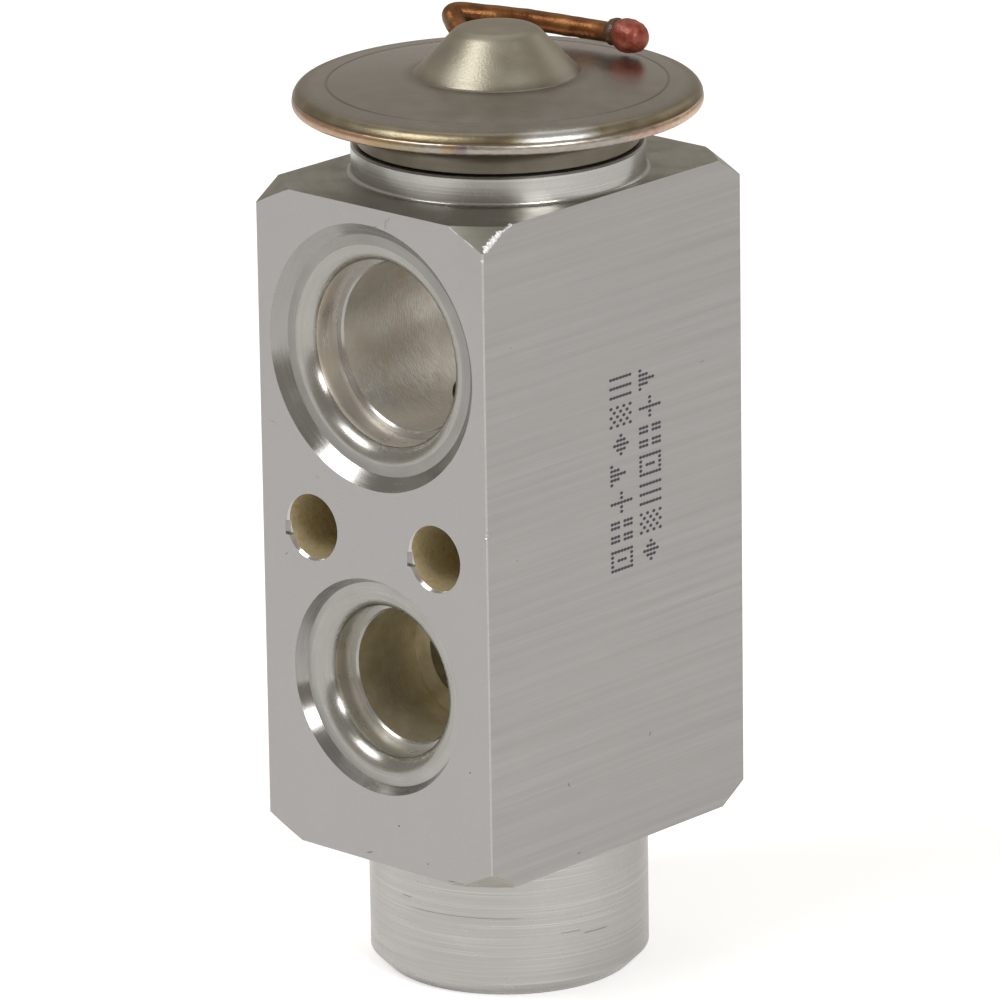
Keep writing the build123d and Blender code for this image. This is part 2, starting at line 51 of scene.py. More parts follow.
# The view: a long lens looks down on the valve's front right corner, from almost a metre away.
# Its place, its aim and its slight roll were fitted to the block's edges in the photograph.
view_aim = Vector((-2.664, 2.393, 46.5)) * MM
view_azimuth = 42.415
view_elevation = 17.301
view_roll = radians(-0.847)
view_distance = 855.4 * MM
sensor_width = 36.0
focal_pixels = 8589.6
photo_width = 1000


def towards(azimuth, elevation):
    """Direction from the valve. Azimuth 0 is the front, 90 the right side."""
    turn, lift = radians(azimuth), radians(elevation)
    return Vector((sin(turn) * cos(lift), -cos(turn) * cos(lift), sin(lift)))


back = towards(view_azimuth, view_elevation)
level_right = towards(view_azimuth + 90, 0)
level_up = back.cross(level_right)
right = level_right * cos(view_roll) + level_up * sin(view_roll)
up = level_up * cos(view_roll) - level_right * sin(view_roll)
lens_data = bpy.data.cameras.new("view")
lens_data.sensor_width = sensor_width
lens_data.lens = focal_pixels / photo_width * sensor_width
lens_data.clip_start = 0.05
lens_data.clip_end = 20
camera = bpy.data.objects.new("view", lens_data)
axes = Matrix((right, up, back)).transposed().to_4x4()
camera.matrix_world = Matrix.Translation(view_aim + back * view_distance) @ axes
scene.collection.objects.link(camera)
scene.camera = camera


# The studio: a white table under two softboxes and two weaker lamps, in a dim warm-grey room.
# The lamps' places come from the highlights that the valve's own metal shows.
table_radius = 5.0
table_sides = 96
room_low = (0.42, 0.385, 0.34)
room_high = (0.36, 0.345, 0.32)
room_high_at = 0.9
table_grey = (0.82, 0.82, 0.815)
table_roughness = 0.9
table_glow_seen = 0.5
table_glow_mirrored = 0.23
lamp_aim = Vector((0, 0, 0.048))


def link(source, socket):
    """Sets a socket to a plain value or colour, or links it to another node's output."""
    if isinstance(source, bpy.types.NodeSocket):
        socket.id_data.links.new(source, socket)
    elif socket.type == "RGBA":
        socket.default_value = (*source, 1)
    else:
        socket.default_value = source


def node(kind, *inputs, owner=None, named=(), **settings):
    """Adds a node to its owner, or beside its first linked input. Named inputs go by name."""
    pairs = [*enumerate(inputs), *dict(named).items()]
    linked = [source for _, source in pairs if isinstance(source, bpy.types.NodeSocket)]
    tree = owner.node_tree if owner else linked[0].id_data
    made = tree.nodes.new("ShaderNode" + kind)
    for setting, choice in settings.items():
        setattr(made, setting, choice)
    for socket, source in pairs:
        link(source, made.inputs[socket])
    return made


def value(operation, *inputs):
    return node("Math", *inputs, operation=operation).outputs[0]


def fit(source, low, high, to_low=0.0, to_high=1.0):
    """Maps one range of values to another, and clamps it."""
    return node("MapRange", source, low, high, to_low, to_high).outputs[0]


def spread(source, to_low=0.0, to_high=1.0):
    """Maps the range that a noise mostly keeps to."""
    return fit(source, 0.3, 0.7, to_low, to_high)


def mix(share, first, second):
    """Mixes two colours."""
    return node("Mix", named={0: share, 6: first, 7: second}, data_type="RGBA").outputs[2]


def finish(name, metallic=1.0, **constants):
    """A new material, with plain values on its shader's sockets."""
    made = bpy.data.materials.new(name)
    made.use_nodes = True
    sockets = made.node_tree.nodes["Principled BSDF"].inputs
    sockets["Metallic"].default_value = metallic
    for socket, constant in constants.items():
        sockets[socket.replace("_", " ").title().replace("Ior", "IOR")].default_value = constant
    return made


def paint(owner, **sources):
    """Gives a material's shader its values and the ends of its nodes."""
    sockets = owner.node_tree.nodes["Principled BSDF"].inputs
    for socket, source in sources.items():
        link(source, sockets[socket.replace("_", " ").title()])


def object_from(name, shape, materials=()):
    """A new object from a bmesh."""
    mesh = bpy.data.meshes.new(name)
    shape.to_mesh(mesh)
    shape.free()
    for material in materials:
        mesh.materials.append(material)
    made = bpy.data.objects.new(name, mesh)
    scene.collection.objects.link(made)
    return made


def lamp(name, azimuth, elevation, distance, width, height, radiance):
    """A soft lamp that points at the middle of the valve."""
    data = bpy.data.lights.new(name, "AREA")
    data.shape = "RECTANGLE"
    data.size = width
    data.size_y = height
    data.energy = radiance * pi * width * height
    made = bpy.data.objects.new(name, data)
    direction = towards(azimuth, elevation)
    made.location = lamp_aim + direction * distance
    made.rotation_mode = "QUATERNION"
    made.rotation_quaternion = direction.to_track_quat("Z", "Y")
    scene.collection.objects.link(made)


lamp("left_softbox", -20, 52, 1.0, 0.46, 0.46, 6.2)
lamp("right_softbox", 75, 31, 1.0, 0.4, 0.26, 11.0)
lamp("top_softbox", -138, 62, 1.1, 0.8, 0.8, 0.45)
lamp("back_softbox", 170, 30, 1.1, 0.6, 0.5, 0.5)

world = bpy.data.worlds.new("room")
world.use_nodes = True
sky = node("TexCoord", owner=world).outputs["Generated"]
sky_height = node("SeparateXYZ", sky).outputs[2]
room = mix(fit(sky_height, 0.0, room_high_at), room_low, room_high)
link(room, world.node_tree.nodes["Background"].inputs["Color"])
scene.world = world

table_shape = bmesh.new()
bmesh.ops.create_circle(table_shape, cap_ends=True, radius=table_radius, segments=table_sides)
table_paint = finish("table_paint", metallic=0.0)
rays = node("LightPath", owner=table_paint).outputs
seen = value("MAXIMUM", rays["Is Camera Ray"], rays["Is Transmission Ray"])
mirrored = value("MULTIPLY", rays["Is Glossy Ray"], table_glow_mirrored)
glow = value("MULTIPLY_ADD", seen, table_glow_seen, mirrored)
paint(
    table_paint,
    base_color=table_grey,
    roughness=table_roughness,
    emission_color=(1, 1, 1),
    emission_strength=glow,
)
table = object_from("table", table_shape, [table_paint])


# Valve body: one block of extruded aluminium bar. Its ends are turned on a lathe to the collar,
# the boss and the four sloped corners, its front and back are milled, and the ports are cut
# with form tools that leave a bright rounded lip. Two bolt holes go right through.
block_half_width = 15.0
block_half_depth = 18.9
block_bottom = 14.6
block_top = 81.7
block_edge_break = 0.13
bar_low, bar_high = -2, 90
turned_radius = 21.6
turned_slope = tan(radians(40))
turning_reach = 25.0
boss_radius = 14.0
boss_chamfer = 1.5
adjuster_bore_radius = 8.0
adjuster_bore_chamfer = 0.8
chamber_radius = 6.2
chamber_floor = 9.4
collar_radius = 14.5
collar_top = 84.6
collar_chamfer = 0.2
collar_cove = 0.4
neck_bore_radius = 12.05
neck_bore_floor = 77.2
seal_groove_radius = 13.7
seal_groove_floor = 83.4
head_bore_radius = 7.6
rod_bore_radius, rod_bore_floor = 4.9, 53.5
guide_radius, guide_floor = 3.03, 44.5
pin_bore_radius = 1.03
seat_radius, seat_level = 1.6, 26.8
seat_foot_radius = 2.4
chamber_top = 26.0
suction_height = 66.5
outlet_height = 32.9
inlet_height = 24.0
inlet_passage_height = 22.4
bolt_height = 47.8
bolt_offset = 8.15
bolt_radius = 3.3
bolt_break = 0.3
bolt_break_shift = 0.15
notch_reach, notch_depth = 0.72, 0.4
notch_stretch = 1.45
ring_depth = 1.15
lip_radius = 1.8
ring_slant = 1.618
thread_pitch = 1.0
thread_depth = 0.4
thread_rows = 8
thread_fade = 8
thread_steepness, thread_flat = 2.4, 0.7
front_pits = [
    (2.69, 19.08, 0.13, 0.11, 0), (6.5, 15.99, 0.11, 0.07, 0), (12.3, 26.74, 0.09, 0.12, 0),
    (-9.2, 27.5, 0.06, 0.09, 0),
]
front_scratches = [
    (2.35, 80.4, 0.05, 0.75, 4), (2.75, 80.9, 0.04, 0.42, 38), (0.9, 79.9, 0.5, 0.05, -14),
    (-13.3, 57.6, 0.6, 0.03, 12), (-7.4, 53.1, 0.45, 0.03, 24), (-11.8, 44.3, 0.3, 0.04, -40),
    (-1.3, 15.45, 0.55, 0.07, -18), (9.6, 14.9, 0.8, 0.06, -8),
]
side_ticks = [
    (4.61, 25.17, 0.09, 0.3, -20), (-7.5, 23.05, 0.08, 0.34, 24), (-6.15, 15.59, 0.3, 0.07, 12),
    (-15.1, 69.5, 0.12, 0.05, 0), (12.9, 61.8, 0.5, 0.03, 6), (-14.6, 47.9, 0.1, 0.1, 0),
]
boss_scratches = [
    (23, 26, 8.55, 0.05), (-4, 3, 9.58, 0.07), (68, 5, 6.6, 0.05), (80, 6.5, 6.2, 0.08),
]
edge_dents = [
    (51.46, 0.26, 0.45), (36.4, 0.12, 0.16), (32.05, 0.12, 0.3), (31.1, 0.16, 0.16),
    (29.5, 0.13, 0.2), (66.3, 0.1, 0.2), (21.2, 0.12, 0.15), (44.7, 0.09, 0.2),
    (72.9, 0.09, 0.12), (58.2, 0.1, 0.14),
]
dent_lift = 0.02

FRONT = (0, -1, 0)
UPRIGHT = (0, 0, 1)


def arc(centre, radius, start, end, steps):
    """Points of an arc between two angles in degrees."""
    angles = [radians(start + (end - start) * step / steps) for step in range(steps + 1)]
    return [(centre[0] + radius * cos(a), centre[1] + radius * sin(a)) for a in angles]


def banded(slot, points):
    """Points (radius, height) of a turned solid that share a finish."""
    return [(radius, height, slot) for radius, height in points]


def thread(radius, start, end, slot, depth):
    """Rows of a screw thread, faded out at both ends. Depth is negative into a shaft."""
    rows = round(abs(end - start) / thread_pitch * thread_rows)
    points = []
    for row in range(rows + 1):
        share = row / rows
        fade = min(1, share * thread_fade, (1 - share) * thread_fade)
        points.append((radius, start + (end - start) * share, slot, depth * fade))
    return points


def polar(radius, angle, height):
    """A point round the valve's axis."""
    return Vector((radius * cos(angle), radius * sin(angle), height))


def moved(*place):
    """A move by millimetres."""
    return Matrix.Translation(Vector(place) * MM)


def skinned(name, hoops, materials, slots=(), closed=False, strip=False, caps=False, place=None):
    """A skin over hoops of points in millimetres. A pole is a hoop of one, a strip isn't closed."""
    shape = bmesh.new()
    hoops = [[shape.verts.new(point * MM) for point in hoop] for hoop in hoops]
    following = hoops[1:] + hoops[:1] * closed
    for index, (lower, upper) in enumerate(zip(hoops, following)):
        steps = max(len(lower), len(upper))
        for step in range(steps - strip):
            after = (step + 1) % steps
            corners = (
                lower[step % len(lower)], lower[after % len(lower)],
                upper[after % len(upper)], upper[step % len(upper)],
            )
            face = shape.faces.new(tuple(dict.fromkeys(corners)))
            face.material_index = slots[index] if slots else 0
    if caps:
        shape.faces.new(hoops[0])
        shape.faces.new(hoops[-1])
    bmesh.ops.recalc_face_normals(shape, faces=shape.faces[:])
    if place:
        bmesh.ops.transform(shape, matrix=place, verts=shape.verts[:])
    return object_from(name, shape, materials)


def turned(name, points, materials, steps=192, place=None, closed=False):
    """A turned solid. A point is (radius, height, slot), and slot paints the band up to the next."""
    hoops = []
    for radius, height, _, *depth in points:
        hoop = []
        for step in range(steps if radius else 1):
            reach = radius
            if depth:
                phase = (height / thread_pitch - step / steps) % 1
                crest = thread_steepness * abs(2 * phase - 1) - thread_flat
                reach += depth[0] * min(1, max(0, crest))
            hoop.append(polar(reach, 2 * pi * step / steps, height))
        hoops.append(hoop)
    return skinned(name, hoops, materials, [point[2] for point in points], closed, place=place)


def apply_modifiers(target):
    """Makes the modifiers' result the object's own mesh."""
    bpy.context.view_layer.update()
    graph = bpy.context.evaluated_depsgraph_get()
    mesh = bpy.data.meshes.new_from_object(target.evaluated_get(graph), depsgraph=graph)
    target.modifiers.clear()
    target.data = mesh


def cut(target, tool, operation="DIFFERENCE"):
    """Cuts one solid with another, and takes the tool away. The cut keeps the tool's materials."""
    modifier = target.modifiers.new("cut", "BOOLEAN")
    modifier.operation = operation
    modifier.solver = "EXACT"
    modifier.material_mode = "TRANSFER"
    modifier.object = tool
    apply_modifiers(target)
    bpy.data.objects.remove(tool)


def smooth(target, angle=28):
    """Rounds the shading, keeps true edges sharp and flat faces flat."""
    for polygon in target.data.polygons:
        polygon.use_smooth = True
    target.data.set_sharp_from_angle(angle=radians(angle))
    weighted = target.modifiers.new("flats", "WEIGHTED_NORMAL")
    weighted.keep_sharp = True
    weighted.weight = 100
    apply_modifiers(target)


def vector(operation, *inputs):
    """Maths on vectors. The result of a dot product or a length is a number."""
    made = node("VectorMath", *inputs, operation=operation)
    return made.outputs[1 if operation in ("DOT_PRODUCT", "LENGTH") else 0]


def scaled(source, share):
    """A vector times a number."""
    return node("VectorMath", source, named={"Scale": share}, operation="SCALE").outputs[0]


def here(owner):
    """The place on the object."""
    return node("TexCoord", owner=owner).outputs["Object"]


def grain(owner, size, detail=3.0, roughness=0.5):
    """Noise round 0.5, with specks of a size in millimetres, or of (x, y, z) millimetres."""
    sizes = size if isinstance(size, tuple) else (size,) * 3
    place = vector("MULTIPLY", here(owner), [1 / (side * MM) for side in sizes])
    inputs = {"Vector": place, "Scale": 1.0, "Detail": detail, "Roughness": roughness}
    return node("TexNoise", named=inputs).outputs[0]


def relief(height, depth, under=None):
    """A bump, with its depth in millimetres, on top of another."""
    inputs = {"Strength": 1.0, "Distance": depth * MM, "Height": height}
    if under:
        inputs["Normal"] = under
    return node("Bump", named=inputs).outputs[0]


def mark(owner, centre, reach, tilt=(0, 0, 0)):
    """A soft spot round a centre, both in millimetres, turned by angles in degrees."""
    centre, reach = [[side * MM for side in sides] for sides in (centre, reach)]
    tilt = [radians(angle) for angle in tilt]
    placed = node("Mapping", here(owner), centre, tilt, reach, vector_type="TEXTURE").outputs[0]
    return fit(vector("LENGTH", placed), 0.5, 1.0, 1.0, 0.0)


def marks(owner, places):
    """All marks of a list together."""
    together = mark(owner, *places[0])
    for place in places[1:]:
        together = value("MAXIMUM", together, mark(owner, *place))
    return together


def near(length, place, full, none, most=1.0):
    """How near a length is to a place: most up to the distance full, nothing from none on."""
    distance = value("ABSOLUTE", value("SUBTRACT", length, place * MM))
    return fit(distance, full * MM, none * MM, most, 0.0)


def lathe(owner, axis=UPRIGHT, centre=(0, 0, 0)):
    """Direction from a turned surface's axis, its radius and its place along the axis."""
    offset = vector("SUBTRACT", here(owner), [side * MM for side in centre])
    along = vector("DOT_PRODUCT", offset, axis)
    flat = vector("SUBTRACT", offset, scaled(axis, along))
    return vector("NORMALIZE", flat), vector("LENGTH", flat), along


def rings(turning, width, around, detail=2.0):
    """Turning lines of a width in millimetres, that change a few times on their way around."""
    direction, radius, along = turning
    line = value("DIVIDE", value("MULTIPLY_ADD", along, ring_slant, radius), width * MM)
    inputs = {"Vector": scaled(direction, around), "W": line, "Scale": 1.0, "Detail": detail}
    return node("TexNoise", named=inputs, noise_dimensions="4D").outputs[0]


def brushed(owner, turning, axis=UPRIGHT):
    """Stretches the gloss across the turning lines."""
    tangent = vector("CROSS_PRODUCT", axis, turning[0])
    spaces = {"vector_type": "VECTOR", "convert_from": "OBJECT", "convert_to": "WORLD"}
    paint(owner, tangent=node("VectorTransform", tangent, **spaces).outputs[0])


def turned_metal(
    name, color, roughness, axis=UPRIGHT, centre=(0, 0, 0), line=0.12, depth=0.002, around=1.5,
    stain=None, stain_share=0.4, stain_size=3.0, anisotropic=0.5, specks=0.0, metallic=1.0,
):
    """Metal cut on a lathe: fine rings, a stretched gloss and a faint stain in patches."""
    made = finish(name, metallic, anisotropic=anisotropic, anisotropic_rotation=0.25)
    turning = lathe(made, axis, centre)
    fine = rings(turning, line, around)
    coarse = rings(turning, line * 6, around * 0.6, 3.0)
    patch = grain(made, stain_size, 4.0)
    dull = [part * 0.86 for part in color]
    shade = mix(spread(fine), dull, color)
    if stain:
        cover = fit(patch, 0.62 - stain_share * 0.4, 0.72 - stain_share * 0.1)
        shade = mix(cover, shade, stain)
    worn = fit(patch, 0.35, 0.65, -0.04, 0.05)
    wear = value("ADD", spread(coarse, -0.05, 0.05), worn)
    ridge = relief(fine, depth, relief(coarse, depth * 1.2))
    if specks:
        ridge = relief(grain(made, 0.18, 2.0), specks, ridge)
    paint(made, base_color=shade, roughness=value("ADD", wear, roughness), normal=ridge)
    brushed(made, turning, axis)
    return made


def milled_metal():
    """The front and back, matt from milling and washing, with a few pits and scratches."""
    made = finish("milled_face")
    cloud = grain(made, (7, 7, 9), 4.0)
    fleck = grain(made, 0.16, 2.0)
    shade = mix(spread(cloud), (0.455, 0.44, 0.438), (0.495, 0.48, 0.478))
    shade = mix(fit(fleck, 0.28, 0.42, 0.16, 0.0), shade, (0.3, 0.28, 0.26))
    shade = mix(fit(fleck, 0.58, 0.72, 0.0, 0.14), shade, (0.75, 0.74, 0.73))
    pits, scratches = [
        marks(made, [
            ((x, -block_half_depth, z), (wide, 1, high), (0, tilt, 0))
            for x, z, wide, high, tilt in spots
        ]) for spots in (front_pits, front_scratches)
    ]
    dents = value("MAXIMUM", pits, value("MULTIPLY", scratches, 0.55))
    shade = mix(dents, shade, (0.08, 0.075, 0.07))
    skin = relief(grain(made, 0.22), 0.012)
    skin = relief(value("SUBTRACT", 1.0, dents), 0.05, skin)
    paint(made, base_color=shade, roughness=spread(cloud, 0.44, 0.54), normal=skin)
    return made


def extruded_metal():
    """The bar's own sides: drawing lines along the bar, which lies from front to back."""
    made = finish("extruded_side", anisotropic=0.35, anisotropic_rotation=0.25)
    fine = grain(made, (1, 24, 0.09), 2.0)
    broad = grain(made, (1, 60, 0.7), 4.0, 0.6)
    cloud = grain(made, (6, 9, 9))
    shade = mix(spread(broad), (0.445, 0.427, 0.425), (0.48, 0.463, 0.46))
    shade = mix(spread(fine, 0.22, 0.0), shade, (0.35, 0.335, 0.325))
    shade = mix(fit(cloud, 0.35, 0.65, 0.0, 0.25), shade, (0.46, 0.444, 0.436))
    ticks = marks(made, [
        ((block_half_width, y, z), (1, wide, high), (tilt, 0, 0))
        for y, z, wide, high, tilt in side_ticks
    ])
    shade = mix(value("MULTIPLY", ticks, 0.8), shade, (0.1, 0.095, 0.09))
    streaks = fit(grain(made, (1, 9, 0.06), 1.0), 0.66, 0.74, 0.0, 0.3)
    shade = mix(streaks, shade, (0.62, 0.61, 0.6))
    lines = relief(fine, 0.003, relief(broad, 0.01))
    lines = relief(grain(made, (0.2, 0.3, 0.2), 2.0), 0.006, lines)
    along = node("CombineXYZ", 0.0, 1.0, 0.0, owner=made).outputs[0]
    paint(made, base_color=shade, roughness=spread(broad, 0.5, 0.4), normal=lines, tangent=along)
    return made


def hairline(turning, bearing, reach, level, width=0.05):
    """A scratch round a cylinder, at a bearing and with a reach in degrees."""
    aim = (sin(radians(bearing)), -cos(radians(bearing)), 0)
    facing = vector("DOT_PRODUCT", turning[0], aim)
    inside = fit(facing, cos(radians(reach)), cos(radians(reach * 0.8)))
    return value("MULTIPLY", inside, near(turning[2], level, width * 0.4, width))


def turned_cylinder():
    """The boss and the collar, brushed by the turning tool, with hairline scratches on the boss."""
    made = finish("turned_cylinder", anisotropic=0.6, anisotropic_rotation=0.25)
    turning = lathe(made)
    fine = rings(turning, 0.1, 1.1)
    streaks = rings(turning, 0.1, 0.6, 1.0)
    cloud = grain(made, 5)
    shade = mix(spread(fine), (0.47, 0.46, 0.445), (0.52, 0.51, 0.495))
    shade = mix(fit(streaks, 0.56, 0.66, 0.0, 0.55), shade, (0.72, 0.71, 0.69))
    scratch = hairline(turning, *boss_scratches[0])
    for bearing, reach, level, width in boss_scratches[1:]:
        scratch = value("MAXIMUM", scratch, hairline(turning, bearing, reach, level, width))
    shade = mix(value("MULTIPLY", scratch, 0.6), shade, (0.2, 0.18, 0.16))
    ridge = relief(fine, 0.0004, relief(value("SUBTRACT", 1.0, scratch), 0.01))
    paint(made, base_color=shade, roughness=spread(cloud, 0.24, 0.32), normal=ridge)
    brushed(made, turning)
    return made


bar_metals = [
    milled_metal(),
    extruded_metal(),
    turned_metal("turned_end", (0.44, 0.43, 0.385), 0.34, stain=(0.36, 0.345, 0.29), specks=0.003),
    turned_cylinder(),
    turned_metal("broken_edge", (0.56, 0.55, 0.54), 0.34, line=0.3, specks=0.02),
    turned_metal("inner_bore", (0.42, 0.4, 0.36), 0.36, stain=(0.33, 0.3, 0.22)),
]
MILLED, EXTRUDED, TURNED, CYLINDER, EDGE, BORED = range(6)

turned_drop = (turning_reach - turned_radius) * turned_slope
cove = arc((collar_radius + collar_cove, block_top + collar_cove), collar_cove, 270, 180, 5)
adjuster_thread = (chamber_floor - 0.3, adjuster_bore_chamfer + 0.1)
outline = banded(CYLINDER, [
    (adjuster_bore_radius + adjuster_bore_chamfer, 0),
    (boss_radius - boss_chamfer, 0),
    (boss_radius, boss_chamfer),
])
outline += banded(TURNED, [
    (boss_radius, block_bottom),
    (turned_radius, block_bottom),
    (turning_reach, block_bottom + turned_drop),
    (turning_reach, block_top - turned_drop),
    (turned_radius, block_top),
])
outline += banded(CYLINDER, cove)
outline += banded(EDGE, [(collar_radius, collar_top - collar_chamfer)])
outline += banded(TURNED, [(collar_radius - collar_chamfer, collar_top)])
outline += banded(BORED, [
    (seal_groove_radius, collar_top),
    (seal_groove_radius, seal_groove_floor),
    (neck_bore_radius, seal_groove_floor),
])
outline += thread(neck_bore_radius, seal_groove_floor - 0.2, neck_bore_floor + 0.6, BORED, thread_depth)
outline += banded(BORED, [
    (neck_bore_radius, neck_bore_floor),
    (head_bore_radius, neck_bore_floor),
    (head_bore_radius, suction_height),
    (rod_bore_radius, suction_height),
    (rod_bore_radius, rod_bore_floor),
    (guide_radius, rod_bore_floor),
    (guide_radius, guide_floor),
    (pin_bore_radius, guide_floor),
    (pin_bore_radius, outlet_height),
    (seat_radius, outlet_height),
    (seat_radius, seat_level),
    (seat_foot_radius, chamber_top),
    (chamber_radius, chamber_top),
    (chamber_radius, chamber_floor),
    (adjuster_bore_radius, chamber_floor),
])
outline += thread(adjuster_bore_radius, *adjuster_thread, BORED, thread_depth)
outline += banded(CYLINDER, [(adjuster_bore_radius, adjuster_bore_chamfer)])
body = turned("valve_body_metal", outline, bar_metals, steps=256, closed=True)

break_x = block_half_width - block_edge_break
break_y = block_half_depth - block_edge_break
bar_corners = [
    (break_x, -block_half_depth), (block_half_width, -break_y),
    (block_half_width, break_y), (break_x, block_half_depth),
    (-break_x, block_half_depth), (-block_half_width, break_y),
    (-block_half_width, -break_y), (-break_x, -block_half_depth),
]
bar_hoops = [[Vector((x, y, level)) for x, y in bar_corners] for level in (bar_low, bar_high)]
bar = skinned("bar", bar_hoops, bar_metals, caps=True)
for polygon, slot in zip(bar.data.polygons, [EDGE, EXTRUDED, EDGE, MILLED] * 2):
    polygon.material_index = slot
cut(body, bar, "INTERSECT")

dents = bmesh.new()
for level, reach, height in edge_dents:
    spot = moved(block_half_width + dent_lift, -block_half_depth - dent_lift, level)
    squeeze = Matrix.Diagonal((reach, reach, height, 1))
    bmesh.ops.create_icosphere(dents, subdivisions=2, radius=MM, matrix=spot @ squeeze)
cut(body, object_from("dents", dents, [bar_metals[EDGE]]))


def port_place(side, height, across=0):
    """Turns a cutter's axis into a port's: its height runs into the block. The front is side -1."""
    sideways = Vector((-side, 0, 0))
    inward = Vector((0, -side, 0))
    turn = Matrix((sideways, inward.cross(sideways), inward)).transposed().to_4x4()
    return moved(across, side * block_half_depth, height) @ turn


def port_metals(name, height, ring, gland, gland_stain=(0.64, 0.6, 0.5), deep=(0.66, 0.6, 0.45)):
    """The finishes inside a port, all turned round the port's own axis. The gland, bore and passage are
    painted much lighter than the block's faces: painted light inside the port.
    """
    def band(part, color, roughness, **more):
        return turned_metal(name + part, color, roughness, FRONT, (0, 0, height), **more)

    dulled = {"stain_size": 2.5, "metallic": 0.8}
    chattered = {"around": 13.0, "stain": (0.8, 0.74, 0.64), "specks": 0.006, **dulled}
    drilled = {"around": 9.0, "stain": (0.5, 0.44, 0.28), "specks": 0.035, **dulled}
    return [
        band("_chamfer", (0.37, 0.36, 0.345), 0.22, line=0.06, depth=0.0008, around=3.0),
        band("_ring", ring, 0.46, line=0.07, depth=0.001),
        band("_lip", (0.43, 0.42, 0.395), 0.26, line=0.07, depth=0.001),
        band("_gland", gland, 0.3, line=0.2, depth=0.004, stain=gland_stain, **dulled),
        band("_bore", (0.9, 0.87, 0.81), 0.36, line=0.24, depth=0.03, **chattered),
        band("_passage", deep, 0.42, line=0.3, depth=0.012, **drilled),
    ]


CHAMFER, RING, LIP, GLAND, BORE, PASSAGE = range(6)


def port_bands(mouth, ring, gland, gland_depth, bores, slot, step_break=0.2):
    """A port from its mouth inwards: bright countersink, ring and lip, then gland and bores."""
    slope = (mouth - ring) / ring_depth
    points = [(0, -1, CHAMFER), (mouth + slope, -1, CHAMFER), (ring, ring_depth, RING)]
    edge = arc((gland + lip_radius, ring_depth + lip_radius), lip_radius, 270, 180, 14)
    points += banded(LIP, edge[:11]) + banded(GLAND, edge[11:])
    points += [(gland, gland_depth, RING), (bores[0][0] + step_break, gland_depth, LIP)]
    depth = gland_depth + step_break
    for radius, end in bores:
        points += banded(slot, [(radius, depth), (radius, end)])
        depth = end
    return points + [(0, depth, LIP)]


suction = port_bands(
    mouth=13.4, ring=12.1, gland=9.25, gland_depth=5.1,
    bores=[(8.45, block_half_depth + 0.5)], slot=BORE,
)
# The suction port's gland, its stain and its bore are painted lighter than the other ports': painted
# light.
suction_metals = port_metals(
    "suction", suction_height, ring=(0.4, 0.39, 0.38), gland=(0.93, 0.88, 0.81),
    gland_stain=(0.84, 0.77, 0.66), deep=(0.8, 0.76, 0.66),
)
outlet = port_bands(
    mouth=11.0, ring=10.35, gland=7.6, gland_depth=4.5, bores=[(6.77, 12.9), (4.7, 23.4)], slot=PASSAGE,
)
outlet_metals = port_metals("outlet", outlet_height, ring=(0.52, 0.51, 0.495), gland=(0.7, 0.68, 0.61))
inlet = port_bands(mouth=8.4, ring=7.7, gland=5.7, gland_depth=4.0, bores=[(5.2, 10.4)], slot=PASSAGE)
inlet_metals = port_metals("inlet", inlet_height, ring=(0.4, 0.39, 0.375), gland=(0.72, 0.69, 0.62))
inlet_passage = banded(PASSAGE, [(0, 10), (3.3, 10), (3.3, block_half_depth), (0, block_half_depth)])
for side, height, bands, metals, steps in (
    (-1, suction_height, suction, suction_metals, 256),
    (1, suction_height, suction, suction_metals, 256),
    (-1, outlet_height, outlet, outlet_metals, 224),
    (1, inlet_height, inlet, inlet_metals, 192),
    (1, inlet_passage_height, inlet_passage, inlet_metals, 96),
):
    cut(body, turned("port_cutter", bands, metals, steps, port_place(side, height)))

through = 2 * block_half_depth
mouth_radius = bolt_radius + 0.06
hole = [
    (0, -1, 1), (bolt_radius, -1, 1), (bolt_radius, through - bolt_break, 0),
    (bolt_radius + bolt_break + 1, through + 1, 0), (0, through + 1, 0),
]
mouth = banded(0, [(0, -1), (mouth_radius + 1, -1), (mouth_radius - 0.46, 0.46), (0, 0.46)])
notch = banded(0, [(0, -1), (notch_reach, -1), (notch_reach, notch_depth), (0, notch_depth)])
for side, hand in ((-1, "left"), (1, "right")):
    name = "bolt_hole_" + hand
    centre = (side * bolt_offset, 0, bolt_height)
    metals = [
        turned_metal(name + "_edge", (0.6, 0.59, 0.57), 0.2, FRONT, centre, line=0.06, depth=0.002),
        turned_metal(
            name + "_wall", (0.66, 0.59, 0.39), 0.45, FRONT, centre, line=0.16, depth=0.03, around=6.0,
            stain=(0.58, 0.44, 0.2), stain_share=0.5, stain_size=0.5, specks=0.06, metallic=0.45,
        ),
    ]
    place = port_place(-1, bolt_height, side * bolt_offset)
    cut(body, turned("bolt_cutter", hole, metals, 128, place))
    shift = moved(-bolt_break_shift, 0, -bolt_break_shift)
    cut(body, turned("bolt_mouth_cutter", mouth, metals, 128, shift @ place))
    shift = moved(-bolt_radius + 0.1, 0, -0.75)
    quarter = Matrix.Diagonal((1, 1, notch_stretch, 1)) @ Matrix.Rotation(pi / 4, 4, "Y")
    centred = Matrix.Translation(place.to_translation())
    around_hole = centred @ quarter @ centred.inverted()
    cut(body, turned("notch_cutter", notch, metals, 4, shift @ around_hole @ place))
smooth(body)
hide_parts("valve_body")
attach(body, "housing")


# Torn edges: the lathe tool left a bright ragged burr where its cones break out of the bar near
# the front corner, and the lower corner got bruised in a box of parts.
burr_metal = turned_metal(
    "burr", (0.95, 0.95, 0.95), 0.3, line=0.05, depth=0.004, specks=0.02, metallic=0.25,
)
bruise_metal = turned_metal(
    "bruise", (0.5, 0.45, 0.38), 0.4, line=0.05, depth=0.004, specks=0.03, metallic=0.7,
)
burr_sink = 0.03


